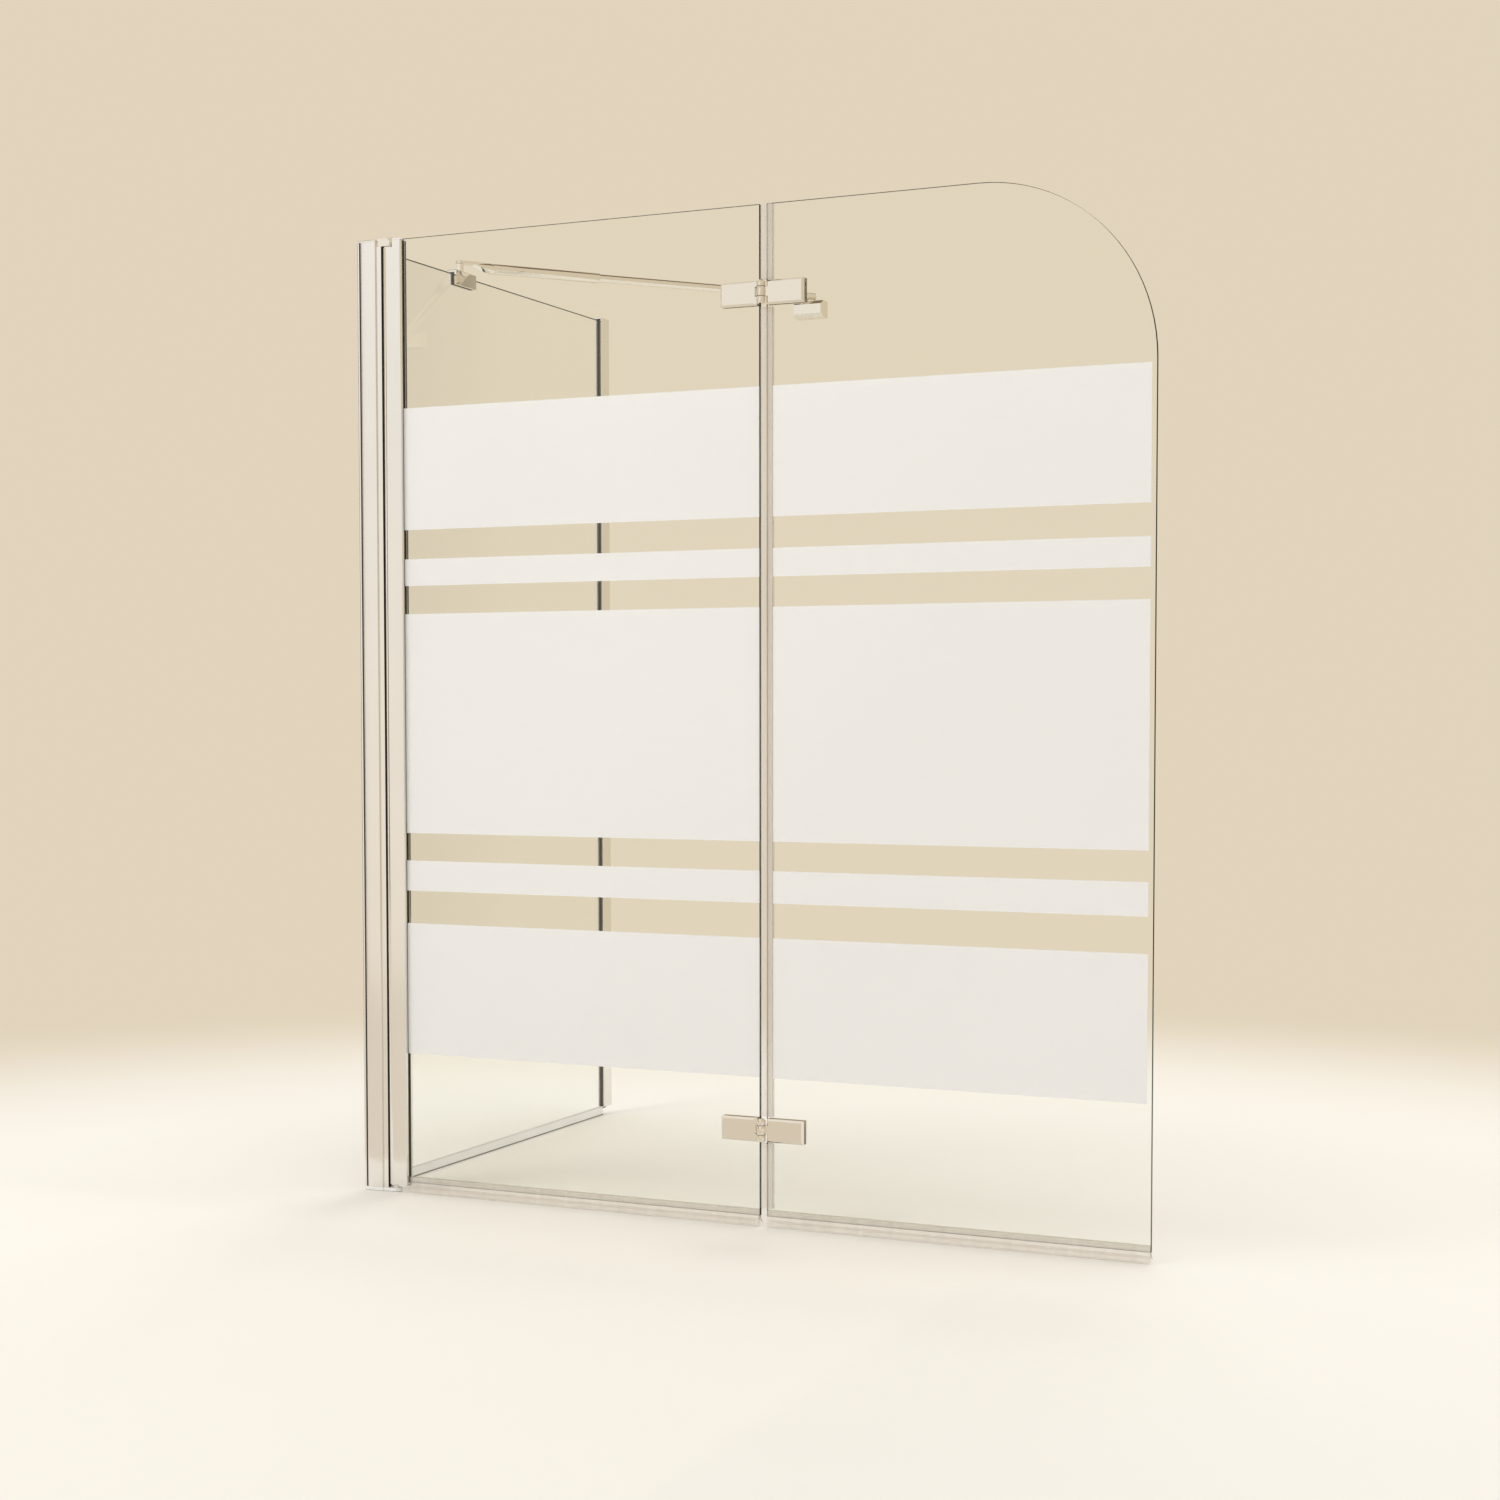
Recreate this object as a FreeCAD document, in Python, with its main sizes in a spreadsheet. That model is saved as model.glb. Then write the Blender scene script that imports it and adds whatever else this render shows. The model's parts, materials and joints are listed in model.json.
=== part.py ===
import FreeCAD, Part
import math
import os
import re
import Sketcher
from FreeCAD import Placement, Rotation, Vector

# A folding bath screen with a fixed side panel, in millimetres.
# X runs along the front panel from the corner post to the free edge, Y runs from the front of
# the bath towards the wall, Z is up. The origin is on the bath rim, where the middle plane of
# the side glass (X = 0) meets the middle plane of the front glass (Y = 0).

SIZES = {
    # the screen as a whole
    "screen_width": 1200,
    "screen_height": 1400,
    "side_depth": 750,
    "rim_gap": 15,
    "corner_radius": 240,
    "glass_thickness": 6,
    # corner post: a hollow extrusion with a glass pocket at its back
    "post_left": 12,
    "post_front": 10,
    "post_width": 33,
    "post_depth": 24,
    "post_wall": 2.5,
    "post_edge_radius": 5,
    "post_drop": 2,
    "pocket_depth": 16,
    "jaw_half": 10,
    "cap_thickness": 3,
    "cap_edge": 0.8,
    "plug_depth": 8,
    "plug_slack": 0.15,
    "foot_thickness": 5,
    # T-shaped key of the rail and of the pivot block, in the post's slot
    "key_neck_half": 2,
    "key_foot_half": 4,
    "key_foot_depth": 2,
    "key_slack": 0.15,
    # hinge rail beside the post, with its wiper seal
    "rail_half": 7,
    "rail_web": 6.5,
    "rail_gap": 2.5,
    "rail_drop": 9,
    "groove_floor": 3,
    "groove_foot_depth": 1.5,
    "groove_foot_half": 4,
    "groove_neck_half": 2.2,
    "wiper_slack": 0.1,
    "wiper_gap": 0.3,
    "wiper_tip_half": 0.6,
    # pivot pins, block, bushes and washer
    "pivot_pin_radius": 3,
    "pivot_running_gap": 0.05,
    "block_height": 12,
    "block_half": 5.5,
    "block_pin_depth": 9,
    "pin_reach": 24,
    "washer_radius": 4.5,
    "washer_thickness": 4.4,
    "thrust_gap": 0.1,
    "pin_seat": 4,
    "bush_flange": 1.5,
    "bush_flange_radius": 8,
    "bush_length": 18,
    "bush_top_gap": 1.5,
    # pivot profile on the inner leaf's left edge
    "pivot_radius": 10,
    "pivot_bore": 6,
    "profile_reach": 24,
    "profile_edge": 1,
    "slot_depth": 13,
    "slot_half": 5,
    "glass_end_gap": 2.5,
    "notch_width": 20,
    "profile_cap": 2,
    "profile_foot": 1.5,
    "cap_slack": 0.15,
    # leaves and the fold between them
    "inner_reach": 600,
    "fold_gap": 11,
    "fold_offset": 10,
    # glass-to-glass hinges
    "hinge_inset": 120,
    "plate_near": 7,
    "plate_far": 62,
    "plate_height": 33,
    "plate_thickness": 5,
    "plate_bevel": 2.5,
    "back_thickness": 4,
    "back_bevel": 1.2,
    "liner_thickness": 1,
    "liner_window_half": 9,
    "barrel_radius": 6,
    "knuckle_top": 7.3,
    "knuckle_middle": 13.4,
    "knuckle_bottom": 9.5,
    "knuckle_gap": 0.35,
    "hinge_pin_radius": 2.5,
    "hinge_pin_head": 4.6,
    "hinge_pin_head_height": 1.8,
    "knuckle_bush_wall": 1,
    "hinge_screw_along": 34.5,
    "glass_hole": 6,
    "hinge_screw_radius": 3,
    "hinge_screw_head": 5.6,
    "hinge_screw_head_height": 2.2,
    "nut_half": 5,
    "nut_height": 3.2,
    "socket_radius": 1.45,
    "socket_depth": 1.6,
    "screw_slack": 0.1,
    # seals on the two leaves
    "seal_grip": 8.5,
    "seal_slack": 0.1,
    "seal_wall": 1.3,
    "seal_body": 6,
    "seal_clearance": 0.4,
    "fin_reach": 5,
    "seal_end_gap": 1,
    "fold_seal_wall": 1.2,
    "fold_seal_grip": 9,
    "lip_half": 0.8,
    "lip_gap": 0.3,
    "fold_seal_stop": 2,
    # side glass, wall channel and rim seal
    "side_glass_bottom": 10,
    "side_glass_drop": 5,
    "side_glass_pocket_gap": 3,
    "side_glass_wall_gap": 10,
    "channel_half": 8,
    "channel_side": 2,
    "channel_back": 2.5,
    "channel_depth": 27,
    "channel_bottom": 14,
    "channel_drop": 3,
    "channel_cap": 2,
    "channel_hole": 2.5,
    "channel_hole_height": 700,
    "channel_hole_pitch": 550,
    "gasket_depth": 12,
    "rim_seal_half": 4.5,
    "rim_seal_grip": 4,
    "rim_seal_end_gap": 0.3,
    "setting_block_length": 12,
    # clamp on the side glass
    "clamp_along": 262,
    "clamp_front": 26,
    "clamp_back": 33,
    "clamp_half": 9,
    "clamp_grip": 17,
    "clamp_web": 4,
    "clamp_liner": 2,
    "clamp_edge": 1.5,
    # swivel and stabiliser bar
    "bar_rise": 9,
    "bar_radius": 8,
    "tube_bore": 6.5,
    "rod_radius": 6.35,
    "tongue_thickness": 4,
    "taper_start": 22,
    "taper_end": 50,
    "eye_length": 54,
    "tube_end": 232,
    "rod_overlap": 60,
    "rod_end": 8,
    "rod_flat": 1.8,
    "swivel_corner": 6,
    "bar_screw_radius": 2.5,
    "end_screw_length": 16,
    # wall bracket
    "bracket_along": 398,
    "bracket_width": 52,
    "bracket_height": 28,
    "bracket_depth": 26,
    "bracket_bevel": 6,
    "bracket_side_bevel": 2,
    "bracket_wall": 4,
    "bracket_rise": 1,
    "saddle_radius": 7,
    "base_thickness": 4,
    "base_slack": 0.15,
    "base_hole": 2.5,
    "base_hole_pitch": 28,
}

PLACES = {
    "glass_half": "glass_thickness / 2",
    "post_right": "post_width - post_left",
    "post_back": "post_depth - post_front",
    "post_top": "screen_height - post_drop",
    "jaw_end": "post_back + pocket_depth",
    "jaw_inner": "jaw_half - post_wall",
    "key_right": "post_right - post_wall - key_slack",
    "key_left": "key_right - key_foot_depth",
    "rail_top": "screen_height - rail_drop",
    "pivot_along": "post_right + rail_web + rail_gap + pivot_radius",
    "groove_base": "post_right + groove_floor",
    "groove_neck": "groove_base + groove_foot_depth",
    "washer_top": "foot_thickness + washer_thickness",
    "profile_bottom": "washer_top + thrust_gap + bush_flange",
    "profile_top": "screen_height - profile_cap",
    "profile_right": "pivot_along + profile_reach",
    "notch_level": "rail_top - bush_top_gap - bush_flange",
    "notch_right": "pivot_along - pivot_radius + notch_width",
    "slot_left": "profile_right - slot_depth",
    "inner_left": "slot_left + glass_end_gap",
    "fold_along": "pivot_along + inner_reach",
    "inner_right": "fold_along - fold_gap / 2",
    "outer_left": "fold_along + fold_gap / 2",
    "outer_right": "screen_width - post_left",
    "upper_level": "screen_height - hinge_inset",
    "lower_level": "rim_gap + hinge_inset",
    "plate_half": "plate_height / 2",
    "plate_back": "glass_half + liner_thickness",
    "plate_face": "plate_back + plate_thickness",
    "back_face": "plate_back + back_thickness",
    "nut_corner": "nut_half / cos(30)",
    "barrel_half": "(knuckle_top + knuckle_middle + knuckle_bottom) / 2",
    "middle_top": "barrel_half - knuckle_top",
    "middle_bottom": "knuckle_bottom - barrel_half",
    "bush_outer": "hinge_pin_radius + pivot_running_gap + knuckle_bush_wall",
    "wall_along": "side_depth - post_front",
    "channel_front": "wall_along - channel_depth",
    "channel_top": "screen_height - channel_drop",
    "side_glass_top": "screen_height - side_glass_drop",
    "side_glass_start": "post_back + side_glass_pocket_gap",
    "side_glass_end": "wall_along - side_glass_wall_gap",
    "clamp_bottom": "side_glass_top - clamp_grip",
    "clamp_slot_top": "side_glass_top + clamp_liner",
    "clamp_top": "clamp_slot_top + clamp_web",
    "bar_level": "clamp_top + bar_rise",
    "tongue_bottom": "bar_radius - tongue_thickness",
    "bracket_top": "screen_height + bracket_rise",
    "bracket_bottom": "bracket_top - bracket_height",
    "bracket_middle": "bracket_top - bracket_height / 2",
    "bracket_left": "bracket_along - bracket_width / 2",
    "bracket_right": "bracket_along + bracket_width / 2",
    "saddle_along": "wall_along - bracket_depth / 2",
    "bar_across": "saddle_along - clamp_along",
    "bar_span": "sqrt(bracket_along ^ 2 + bar_across ^ 2)",
    "bar_turn": "atan2(bar_across; bracket_along)",
}

TURNS = {
    "up": Rotation(),
    "down": Rotation(Vector(1, 0, 0), 180),
    "front": Rotation(Vector(1, 0, 0), 90),
}

doc = FreeCAD.newDocument("bath_screen")
sheet = doc.addObject("Spreadsheet::Sheet", "Sizes")
for row, (alias, value) in enumerate(SIZES.items(), start=1):
    sheet.set(f"A{row}", alias)
    sheet.set(f"B{row}", str(value))
    sheet.setAlias(f"B{row}", alias)
doc.recompute()

nodes = []


# ---- sizes, places and names ------------------------------------------------------------------

def cell(match):
    """The sheet's cell, or the formula in brackets, that one word of a formula stands for."""
    word = match.group()
    if word in SIZES:
        return f"Sizes.{word}"
    if word in PLACES:
        return f"({formula(PLACES[word])})"
    return word


def formula(text):
    """A formula of named sizes and places, written as one of the sheet's cells."""
    return re.sub(r"[a-z_]+", cell, str(text))


def bind(thing, target, text):
    thing.setExpression(target, formula(text))


def place(thing, x="0", y="0", z="0", turn="up"):
    """Turn an object, and put its own origin at a place given by three formulas."""
    thing.Placement = Placement(Vector(), TURNS[turn])
    for axis, text in (("x", x), ("y", y), ("z", z)):
        bind(thing, f"Placement.Base.{axis}", text)
    return thing


def keep(thing, label):
    """Name a finished piece, which is written to a file of that name."""
    thing.Label = label
    nodes.append(thing)
    return thing


# ---- sketched bodies --------------------------------------------------------------------------

def new_body(label):
    return keep(doc.addObject("PartDesign::Body", label), label)


def sketch(body, plane, offset="0"):
    """An empty sketch on one of the body's own planes, moved along that plane's normal."""
    support = next(item for item in body.Origin.OriginFeatures if item.Role == f"{plane}_Plane")
    drawing = body.newObject("Sketcher::SketchObject", f"{body.Name}_sketch")
    drawing.AttachmentSupport = [(support, "")]
    drawing.MapMode = "FlatFace"
    bind(drawing, "AttachmentOffset.Base.z", offset)
    return drawing


def fix_point(drawing, shape, point, x, y, now):
    """Hold a point of a sketch's shape at a place measured from the sketch's origin."""
    for kind, text, value in (("DistanceX", x, now.x), ("DistanceY", y, now.y)):
        index = drawing.addConstraint(Sketcher.Constraint(kind, -1, 1, shape, point, value))
        bind(drawing, f"Constraints[{index}]", text)


def outline(drawing, corners):
    """A closed outline of straight sides through the corners."""
    first = drawing.GeometryCount
    count = len(corners)
    turns = [2 * math.pi * number / count for number in range(count)]
    starts = [Vector(math.cos(turn), math.sin(turn), 0) for turn in turns]
    for number, start in enumerate(starts):
        drawing.addGeometry(Part.LineSegment(start, starts[(number + 1) % count]))
    for number, (x, y) in enumerate(corners):
        before = first + (number - 1) % count
        drawing.addConstraint(Sketcher.Constraint("Coincident", before, 2, first + number, 1))
        fix_point(drawing, first + number, 1, x, y, starts[number])
    return drawing


def rectangle(drawing, left, low, right, high):
    return outline(drawing, [(left, low), (right, low), (right, high), (left, high)])


def circle(drawing, x, y, radius):
    shape = drawing.addGeometry(Part.Circle(Vector(), Vector(0, 0, 1), 1))
    fix_point(drawing, shape, 3, x, y, Vector())
    index = drawing.addConstraint(Sketcher.Constraint("Radius", shape, 1))
    bind(drawing, f"Constraints[{index}]", radius)
    return drawing


def pad(body, drawing, length, against=False):
    """Material from a sketch, along its normal or against it."""
    feature = body.newObject("PartDesign::Pad", f"{body.Name}_pad")
    feature.Profile = drawing
    feature.Reversed = against
    bind(feature, "Length", length)
    doc.recompute()
    return feature


def cut(body, drawing, depth=None, against=False):
    """A pocket from a sketch along its normal or against it, right through without a depth."""
    before = body.Shape.Volume
    feature = body.newObject("PartDesign::Pocket", f"{body.Name}_cut")
    feature.Profile = drawing
    feature.Reversed = not against
    if depth is None:
        feature.Type = "ThroughAll"
    else:
        bind(feature, "Length", depth)
    doc.recompute()
    if not body.Shape.Volume < before:
        raise RuntimeError(f"{feature.Name} cuts nothing")
    return feature


def edges_at(feature, where):
    """The straight or round edges that lie wholly on the named sides, such as z=max."""
    box = feature.Shape.BoundBox
    levels = {
        "x=min": box.XMin, "x=max": box.XMax,
        "y=min": box.YMin, "y=max": box.YMax,
        "z=min": box.ZMin, "z=max": box.ZMax,
    }
    found = []
    for number, edge in enumerate(feature.Shape.Edges, start=1):
        reach = edge.BoundBox
        spans = {"x": (reach.XMin, reach.XMax), "y": (reach.YMin, reach.YMax),
                 "z": (reach.ZMin, reach.ZMax)}
        if all(abs(end - levels[side]) < 0.01 for side in where for end in spans[side[0]]):
            found.append(f"Edge{number}")
    if not found:
        raise RuntimeError(f"{feature.Name} has no edge at {where}")
    return found


def soften(body, feature, where, size, kind="Fillet"):
    """Round or bevel the edges of the last feature that lie on the named sides."""
    softened = body.newObject(f"PartDesign::{kind}", f"{body.Name}_{kind.lower()}")
    softened.Base = (feature, edges_at(feature, where))
    bind(softened, "Radius" if kind == "Fillet" else "Size", size)
    doc.recompute()
    return softened


# ---- plain solids, screws and groups ----------------------------------------------------------

def box(name, low, size):
    solid = doc.addObject("Part::Box", name)
    for target, text in zip(("Length", "Width", "Height"), size):
        bind(solid, target, text)
    return place(solid, *low)


def rod(name, radius, length, z="0"):
    """A cylinder that stands on the given height."""
    solid = doc.addObject("Part::Cylinder", name)
    bind(solid, "Radius", radius)
    bind(solid, "Height", length)
    return place(solid, z=z)


def fuse(name, solids):
    joined = doc.addObject("Part::MultiFuse", name)
    joined.Shapes = solids
    return joined


def subtract(name, solid, tool):
    rest = doc.addObject("Part::Cut", name)
    rest.Base = solid
    rest.Tool = tool
    return rest


def ring(name, outside, inside, low, height):
    """A plain sleeve about its own upright axis, with a bore cut well past both ends."""
    bore = rod(f"{name}_bore", inside, f"({height}) * 3", z=f"({low}) - ({height})")
    return subtract(name, rod(f"{name}_sleeve", outside, height, z=low), bore)


def group(label, solids):
    """Several equal or paired solids that share one file."""
    whole = doc.addObject("Part::Compound", label)
    whole.Links = solids
    return keep(whole, label)


def hexagon(name, corner, height, z="0"):
    """A hexagonal bar that stands on the given height, with two corners along X."""
    solid = doc.addObject("Part::Prism", name)
    solid.Polygon = 6
    bind(solid, "Circumradius", corner)
    bind(solid, "Height", height)
    return place(solid, z=z)


def add_socket(name, solid):
    """A screw, whose top is at height 0 and which runs along +Z, with its hexagon socket."""
    return subtract(name, solid, hexagon(f"{name}_socket", "socket_radius", "socket_depth"))


# ---- corner post ------------------------------------------------------------------------------

def post_outline():
    """The post seen from above: a broad front part and two jaws that hold the side glass."""
    return [
        ("-post_left", "-post_front"), ("post_right", "-post_front"),
        ("post_right", "post_back"), ("jaw_half", "post_back"),
        ("jaw_half", "jaw_end"), ("-jaw_half", "jaw_end"),
        ("-jaw_half", "post_back"), ("-post_left", "post_back"),
    ]


def key_outline():
    """The T-shaped key, whose neck passes the post's slot and whose foot holds behind its wall."""
    return [
        ("key_left", "-key_foot_half"), ("key_right", "-key_foot_half"),
        ("key_right", "-key_neck_half"), ("post_right", "-key_neck_half"),
        ("post_right", "key_neck_half"), ("key_right", "key_neck_half"),
        ("key_right", "key_foot_half"), ("key_left", "key_foot_half"),
    ]


def add_plug(body, level, down):
    """The block that centres a cap or a foot in the post's chamber, beside the key."""
    plug = sketch(body, "XY", level)
    rectangle(plug, "post_wall - post_left + plug_slack", "post_wall - post_front + plug_slack",
              "key_left - plug_slack", "post_back - post_wall - plug_slack")
    pad(body, plug, "plug_depth", against=down)


def make_corner_post():
    """The hollow extrusion: a chamber with the key's slot in its right wall, and a pocket."""
    body = new_body("corner_post")
    profile = outline(sketch(body, "XY", "foot_thickness"), post_outline())
    extrusion = pad(body, profile, "post_top - foot_thickness")
    soften(body, extrusion, ["x=min", "y=min"], "post_edge_radius")
    chamber = sketch(body, "XY", "foot_thickness")
    rectangle(chamber, "post_wall - post_left", "post_wall - post_front",
              "post_right - post_wall", "post_back - post_wall")
    cut(body, chamber)
    pocket = sketch(body, "XY", "foot_thickness")
    rectangle(pocket, "-jaw_inner", "post_back", "jaw_inner", "jaw_end + post_wall")
    cut(body, pocket)
    slot = sketch(body, "XY", "foot_thickness")
    rectangle(slot, "key_right - post_wall", "-key_neck_half - key_slack",
              "post_right + post_wall", "key_neck_half + key_slack")
    cut(body, slot)


def make_post_top_cap():
    body = new_body("post_top_cap")
    cover = pad(body, outline(sketch(body, "XY", "post_top"), post_outline()), "cap_thickness")
    rounded = soften(body, cover, ["x=min", "y=min"], "post_edge_radius")
    soften(body, rounded, ["z=max"], "cap_edge", "Chamfer")
    add_plug(body, "post_top", down=True)


def make_foot_plate():
    """The plastic foot under the post, which reaches out under the pivot."""
    body = new_body("foot_plate")
    base = pad(body, outline(sketch(body, "XY"), post_outline()), "foot_thickness")
    soften(body, base, ["x=min", "y=min"], "post_edge_radius")
    arm = sketch(body, "XY")
    rectangle(arm, "0", "-bush_flange_radius", "pivot_along", "bush_flange_radius")
    pad(body, arm, "foot_thickness")
    pad(body, circle(sketch(body, "XY"), "pivot_along", "0", "bush_flange_radius"),
        "foot_thickness")
    seat = circle(sketch(body, "XY", "foot_thickness"), "pivot_along", "0", "pivot_pin_radius")
    cut(body, seat, "pin_seat", against=True)
    add_plug(body, "foot_thickness", down=False)


# ---- hinge rail and top pivot -----------------------------------------------------------------

def groove_outline(slack, tip, tip_half):
    """The undercut groove of the rail, or what slides into it with some slack all round."""
    return [
        (f"groove_base + {slack}", f"{slack} - groove_foot_half"),
        (f"groove_neck - {slack}", f"{slack} - groove_foot_half"),
        (f"groove_neck - {slack}", f"{slack} - groove_neck_half"),
        (tip, f"-({tip_half})"), (tip, tip_half),
        (f"groove_neck - {slack}", f"groove_neck_half - {slack}"),
        (f"groove_neck - {slack}", f"groove_foot_half - {slack}"),
        (f"groove_base + {slack}", f"groove_foot_half - {slack}"),
    ]


def make_hinge_rail():
    body = new_body("hinge_rail")
    strip = sketch(body, "XY", "foot_thickness")
    rectangle(strip, "post_right", "-rail_half", "pivot_along", "rail_half")
    pad(body, strip, "rail_top - foot_thickness")
    hollow = sketch(body, "XY", "foot_thickness")
    circle(hollow, "pivot_along", "0", "pivot_radius + rail_gap")
    cut(body, hollow)
    groove = sketch(body, "XY", "foot_thickness")
    outline(groove, groove_outline("0", "pivot_along", "groove_neck_half"))
    cut(body, groove)
    key = outline(sketch(body, "XY", "foot_thickness"), key_outline())
    pad(body, key, "rail_top - foot_thickness")


def make_wiper_seal():
    """The dark strip in the rail's groove, whose lip stops short of the round pivot profile."""
    body = new_body("wiper_seal")
    tip = "pivot_along - pivot_radius - wiper_gap"
    profile = sketch(body, "XY", "foot_thickness")
    outline(profile, groove_outline("wiper_slack", tip, "wiper_tip_half"))
    pad(body, profile, "rail_top - foot_thickness")


def make_top_pivot_block():
    """The block over the rail, whose key ends under the post's cap."""
    body = new_body("top_pivot_block")
    arm = sketch(body, "XY", "rail_top")
    rectangle(arm, "post_right", "-block_half", "pivot_along", "block_half")
    pad(body, arm, "block_height")
    nose = circle(sketch(body, "XY", "rail_top"), "pivot_along", "0", "block_half")
    pad(body, nose, "block_height")
    seat = circle(sketch(body, "XY", "rail_top"), "pivot_along", "0", "pivot_pin_radius")
    cut(body, seat, "block_pin_depth")
    key = outline(sketch(body, "XY", "rail_top"), key_outline())
    pad(body, key, "post_top - rail_top")


def make_pivot_pins():
    """The pins that the inner leaf turns on, in the foot plate and in the block."""
    pins = (
        ("bottom_pivot_pin", "foot_thickness - pin_seat", "profile_bottom + pin_reach"),
        ("top_pivot_pin", "rail_top - pin_reach", "rail_top + block_pin_depth"),
    )
    for label, low, high in pins:
        pin = rod(label, "pivot_pin_radius", f"{high} - ({low})")
        keep(place(pin, "pivot_along", "0", low), label)


def make_thrust_washer():
    """The thick washer on the foot plate that carries the leaves."""
    washer = ring("thrust_washer", "washer_radius", "pivot_pin_radius", "foot_thickness",
                  "washer_thickness")
    keep(place(washer, "pivot_along"), "thrust_washer")


# ---- inner leaf -------------------------------------------------------------------------------

def make_pivot_profile():
    """The extrusion that grips the inner glass and turns about its own round left end."""
    body = new_body("pivot_profile")
    height = "profile_top - profile_bottom"
    bar = sketch(body, "XY", "profile_bottom")
    rectangle(bar, "pivot_along", "-pivot_radius", "profile_right", "pivot_radius")
    straight = pad(body, bar, height)
    front = soften(body, straight, ["x=max", "y=min"], "profile_edge")
    soften(body, front, ["x=max", "y=max"], "profile_edge")
    end = circle(sketch(body, "XY", "profile_bottom"), "pivot_along", "0", "pivot_radius")
    pad(body, end, height)
    bore = circle(sketch(body, "XY", "profile_bottom"), "pivot_along", "0", "pivot_bore")
    cut(body, bore)
    slot = sketch(body, "XY", "profile_bottom")
    rectangle(slot, "slot_left", "-slot_half", "profile_right + slot_depth", "slot_half")
    cut(body, slot)
    notch = sketch(body, "XY", "notch_level")
    rectangle(notch, "notch_right - notch_width * 2", "-pivot_radius * 2",
              "notch_right", "pivot_radius * 2")
    cut(body, notch)


def make_profile_top_cap():
    """A thin cap on the profile, slotted for the glass, which comes up flush with it."""
    body = new_body("profile_top_cap")
    cover = sketch(body, "XY", "profile_top")
    rectangle(cover, "notch_right", "-pivot_radius", "profile_right", "pivot_radius")
    pad(body, cover, "profile_cap")
    slot = sketch(body, "XY", "profile_top")
    rectangle(slot, "inner_left - cap_slack", "-glass_half - cap_slack",
              "profile_right + slot_depth", "glass_half + cap_slack")
    cut(body, slot)


def make_profile_bottom_cap():
    """The cap under the profile, with the block that the inner glass stands on."""
    body = new_body("profile_bottom_cap")
    cover = sketch(body, "XY", "profile_bottom - profile_foot")
    rectangle(cover, "notch_right", "-pivot_radius", "profile_right", "pivot_radius")
    pad(body, cover, "profile_foot")
    block = sketch(body, "XY", "profile_bottom")
    rectangle(block, "slot_left + cap_slack", "cap_slack - slot_half",
              "profile_right", "slot_half - cap_slack")
    pad(body, block, "rim_gap - profile_bottom")


def make_pivot_bushes():
    """Flanged plastic bushes pressed into both ends of the profile's bore."""
    bushes = []
    ends = (("top", "notch_level", "up"), ("bottom", "profile_bottom", "down"))
    for name, level, turn in ends:
        sleeve = rod(f"bush_sleeve_{name}", "pivot_bore", "bush_length", z="-bush_length")
        flange = rod(f"bush_flange_{name}", "bush_flange_radius", "bush_flange")
        whole = fuse(f"bush_solid_{name}", [sleeve, flange])
        bore = rod(f"bush_bore_{name}", "pivot_pin_radius + pivot_running_gap",
                   "bush_length * 3", z="-bush_length * 2")
        bush = subtract(f"bush_{name}", whole, bore)
        bushes.append(place(bush, "pivot_along", "0", level, turn))
    group("pivot_bushes", bushes)


def make_profile_gaskets():
    strips = []
    for name, side in (("front", "-slot_half"), ("rear", "glass_half")):
        strips.append(box(f"profile_gasket_{name}", ("slot_left", side, "rim_gap"),
                          ("slot_depth", "slot_half - glass_half", "profile_top - rim_gap")))
    group("profile_gaskets", strips)


def front_glass(label, left, right, hole_side):
    """A sheet of the front panel, drilled for its halves of the two hinges."""
    body = new_body(label)
    sheet_outline = sketch(body, "XZ", "-glass_half")
    rectangle(sheet_outline, left, "rim_gap", right, "screen_height")
    for level in ("upper_level", "lower_level"):
        circle(sheet_outline, f"fold_along {hole_side} hinge_screw_along", level, "glass_hole")
    return body, pad(body, sheet_outline, "glass_thickness")


def make_inner_glass():
    front_glass("inner_glass", "inner_left", "inner_right", "-")


def make_outer_glass():
    body, panel = front_glass("outer_glass", "outer_left", "outer_right", "+")
    soften(body, panel, ["x=max", "z=max"], "corner_radius")


# ---- glass-to-glass hinges --------------------------------------------------------------------
# Each hinge is drawn about its own fold axis line: X and Z from the middle of the barrel, Y from
# the middle plane of the glass. The side is -1 on the inner leaf and 1 on the outer leaf.

def put_hinge(thing, level):
    return place(thing, "fold_along", "0", level)


def hinge_rectangle(drawing, side):
    near = f"plate_near * {side}"
    far = f"plate_far * {side}"
    return rectangle(drawing, near, "-plate_half", far, "plate_half")


def add_knuckle(body, side, low, high):
    """A barrel knuckle and the arm that joins it to the plate."""
    height = f"({high}) - ({low})"
    barrel = circle(sketch(body, "XY", low), "0", "-fold_offset", "barrel_radius")
    pad(body, barrel, height)
    arm = sketch(body, "XY", low)
    rectangle(arm, "0", "-plate_face", f"(plate_near + plate_bevel * 2) * {side}", "-plate_back")
    pad(body, arm, height)


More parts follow.
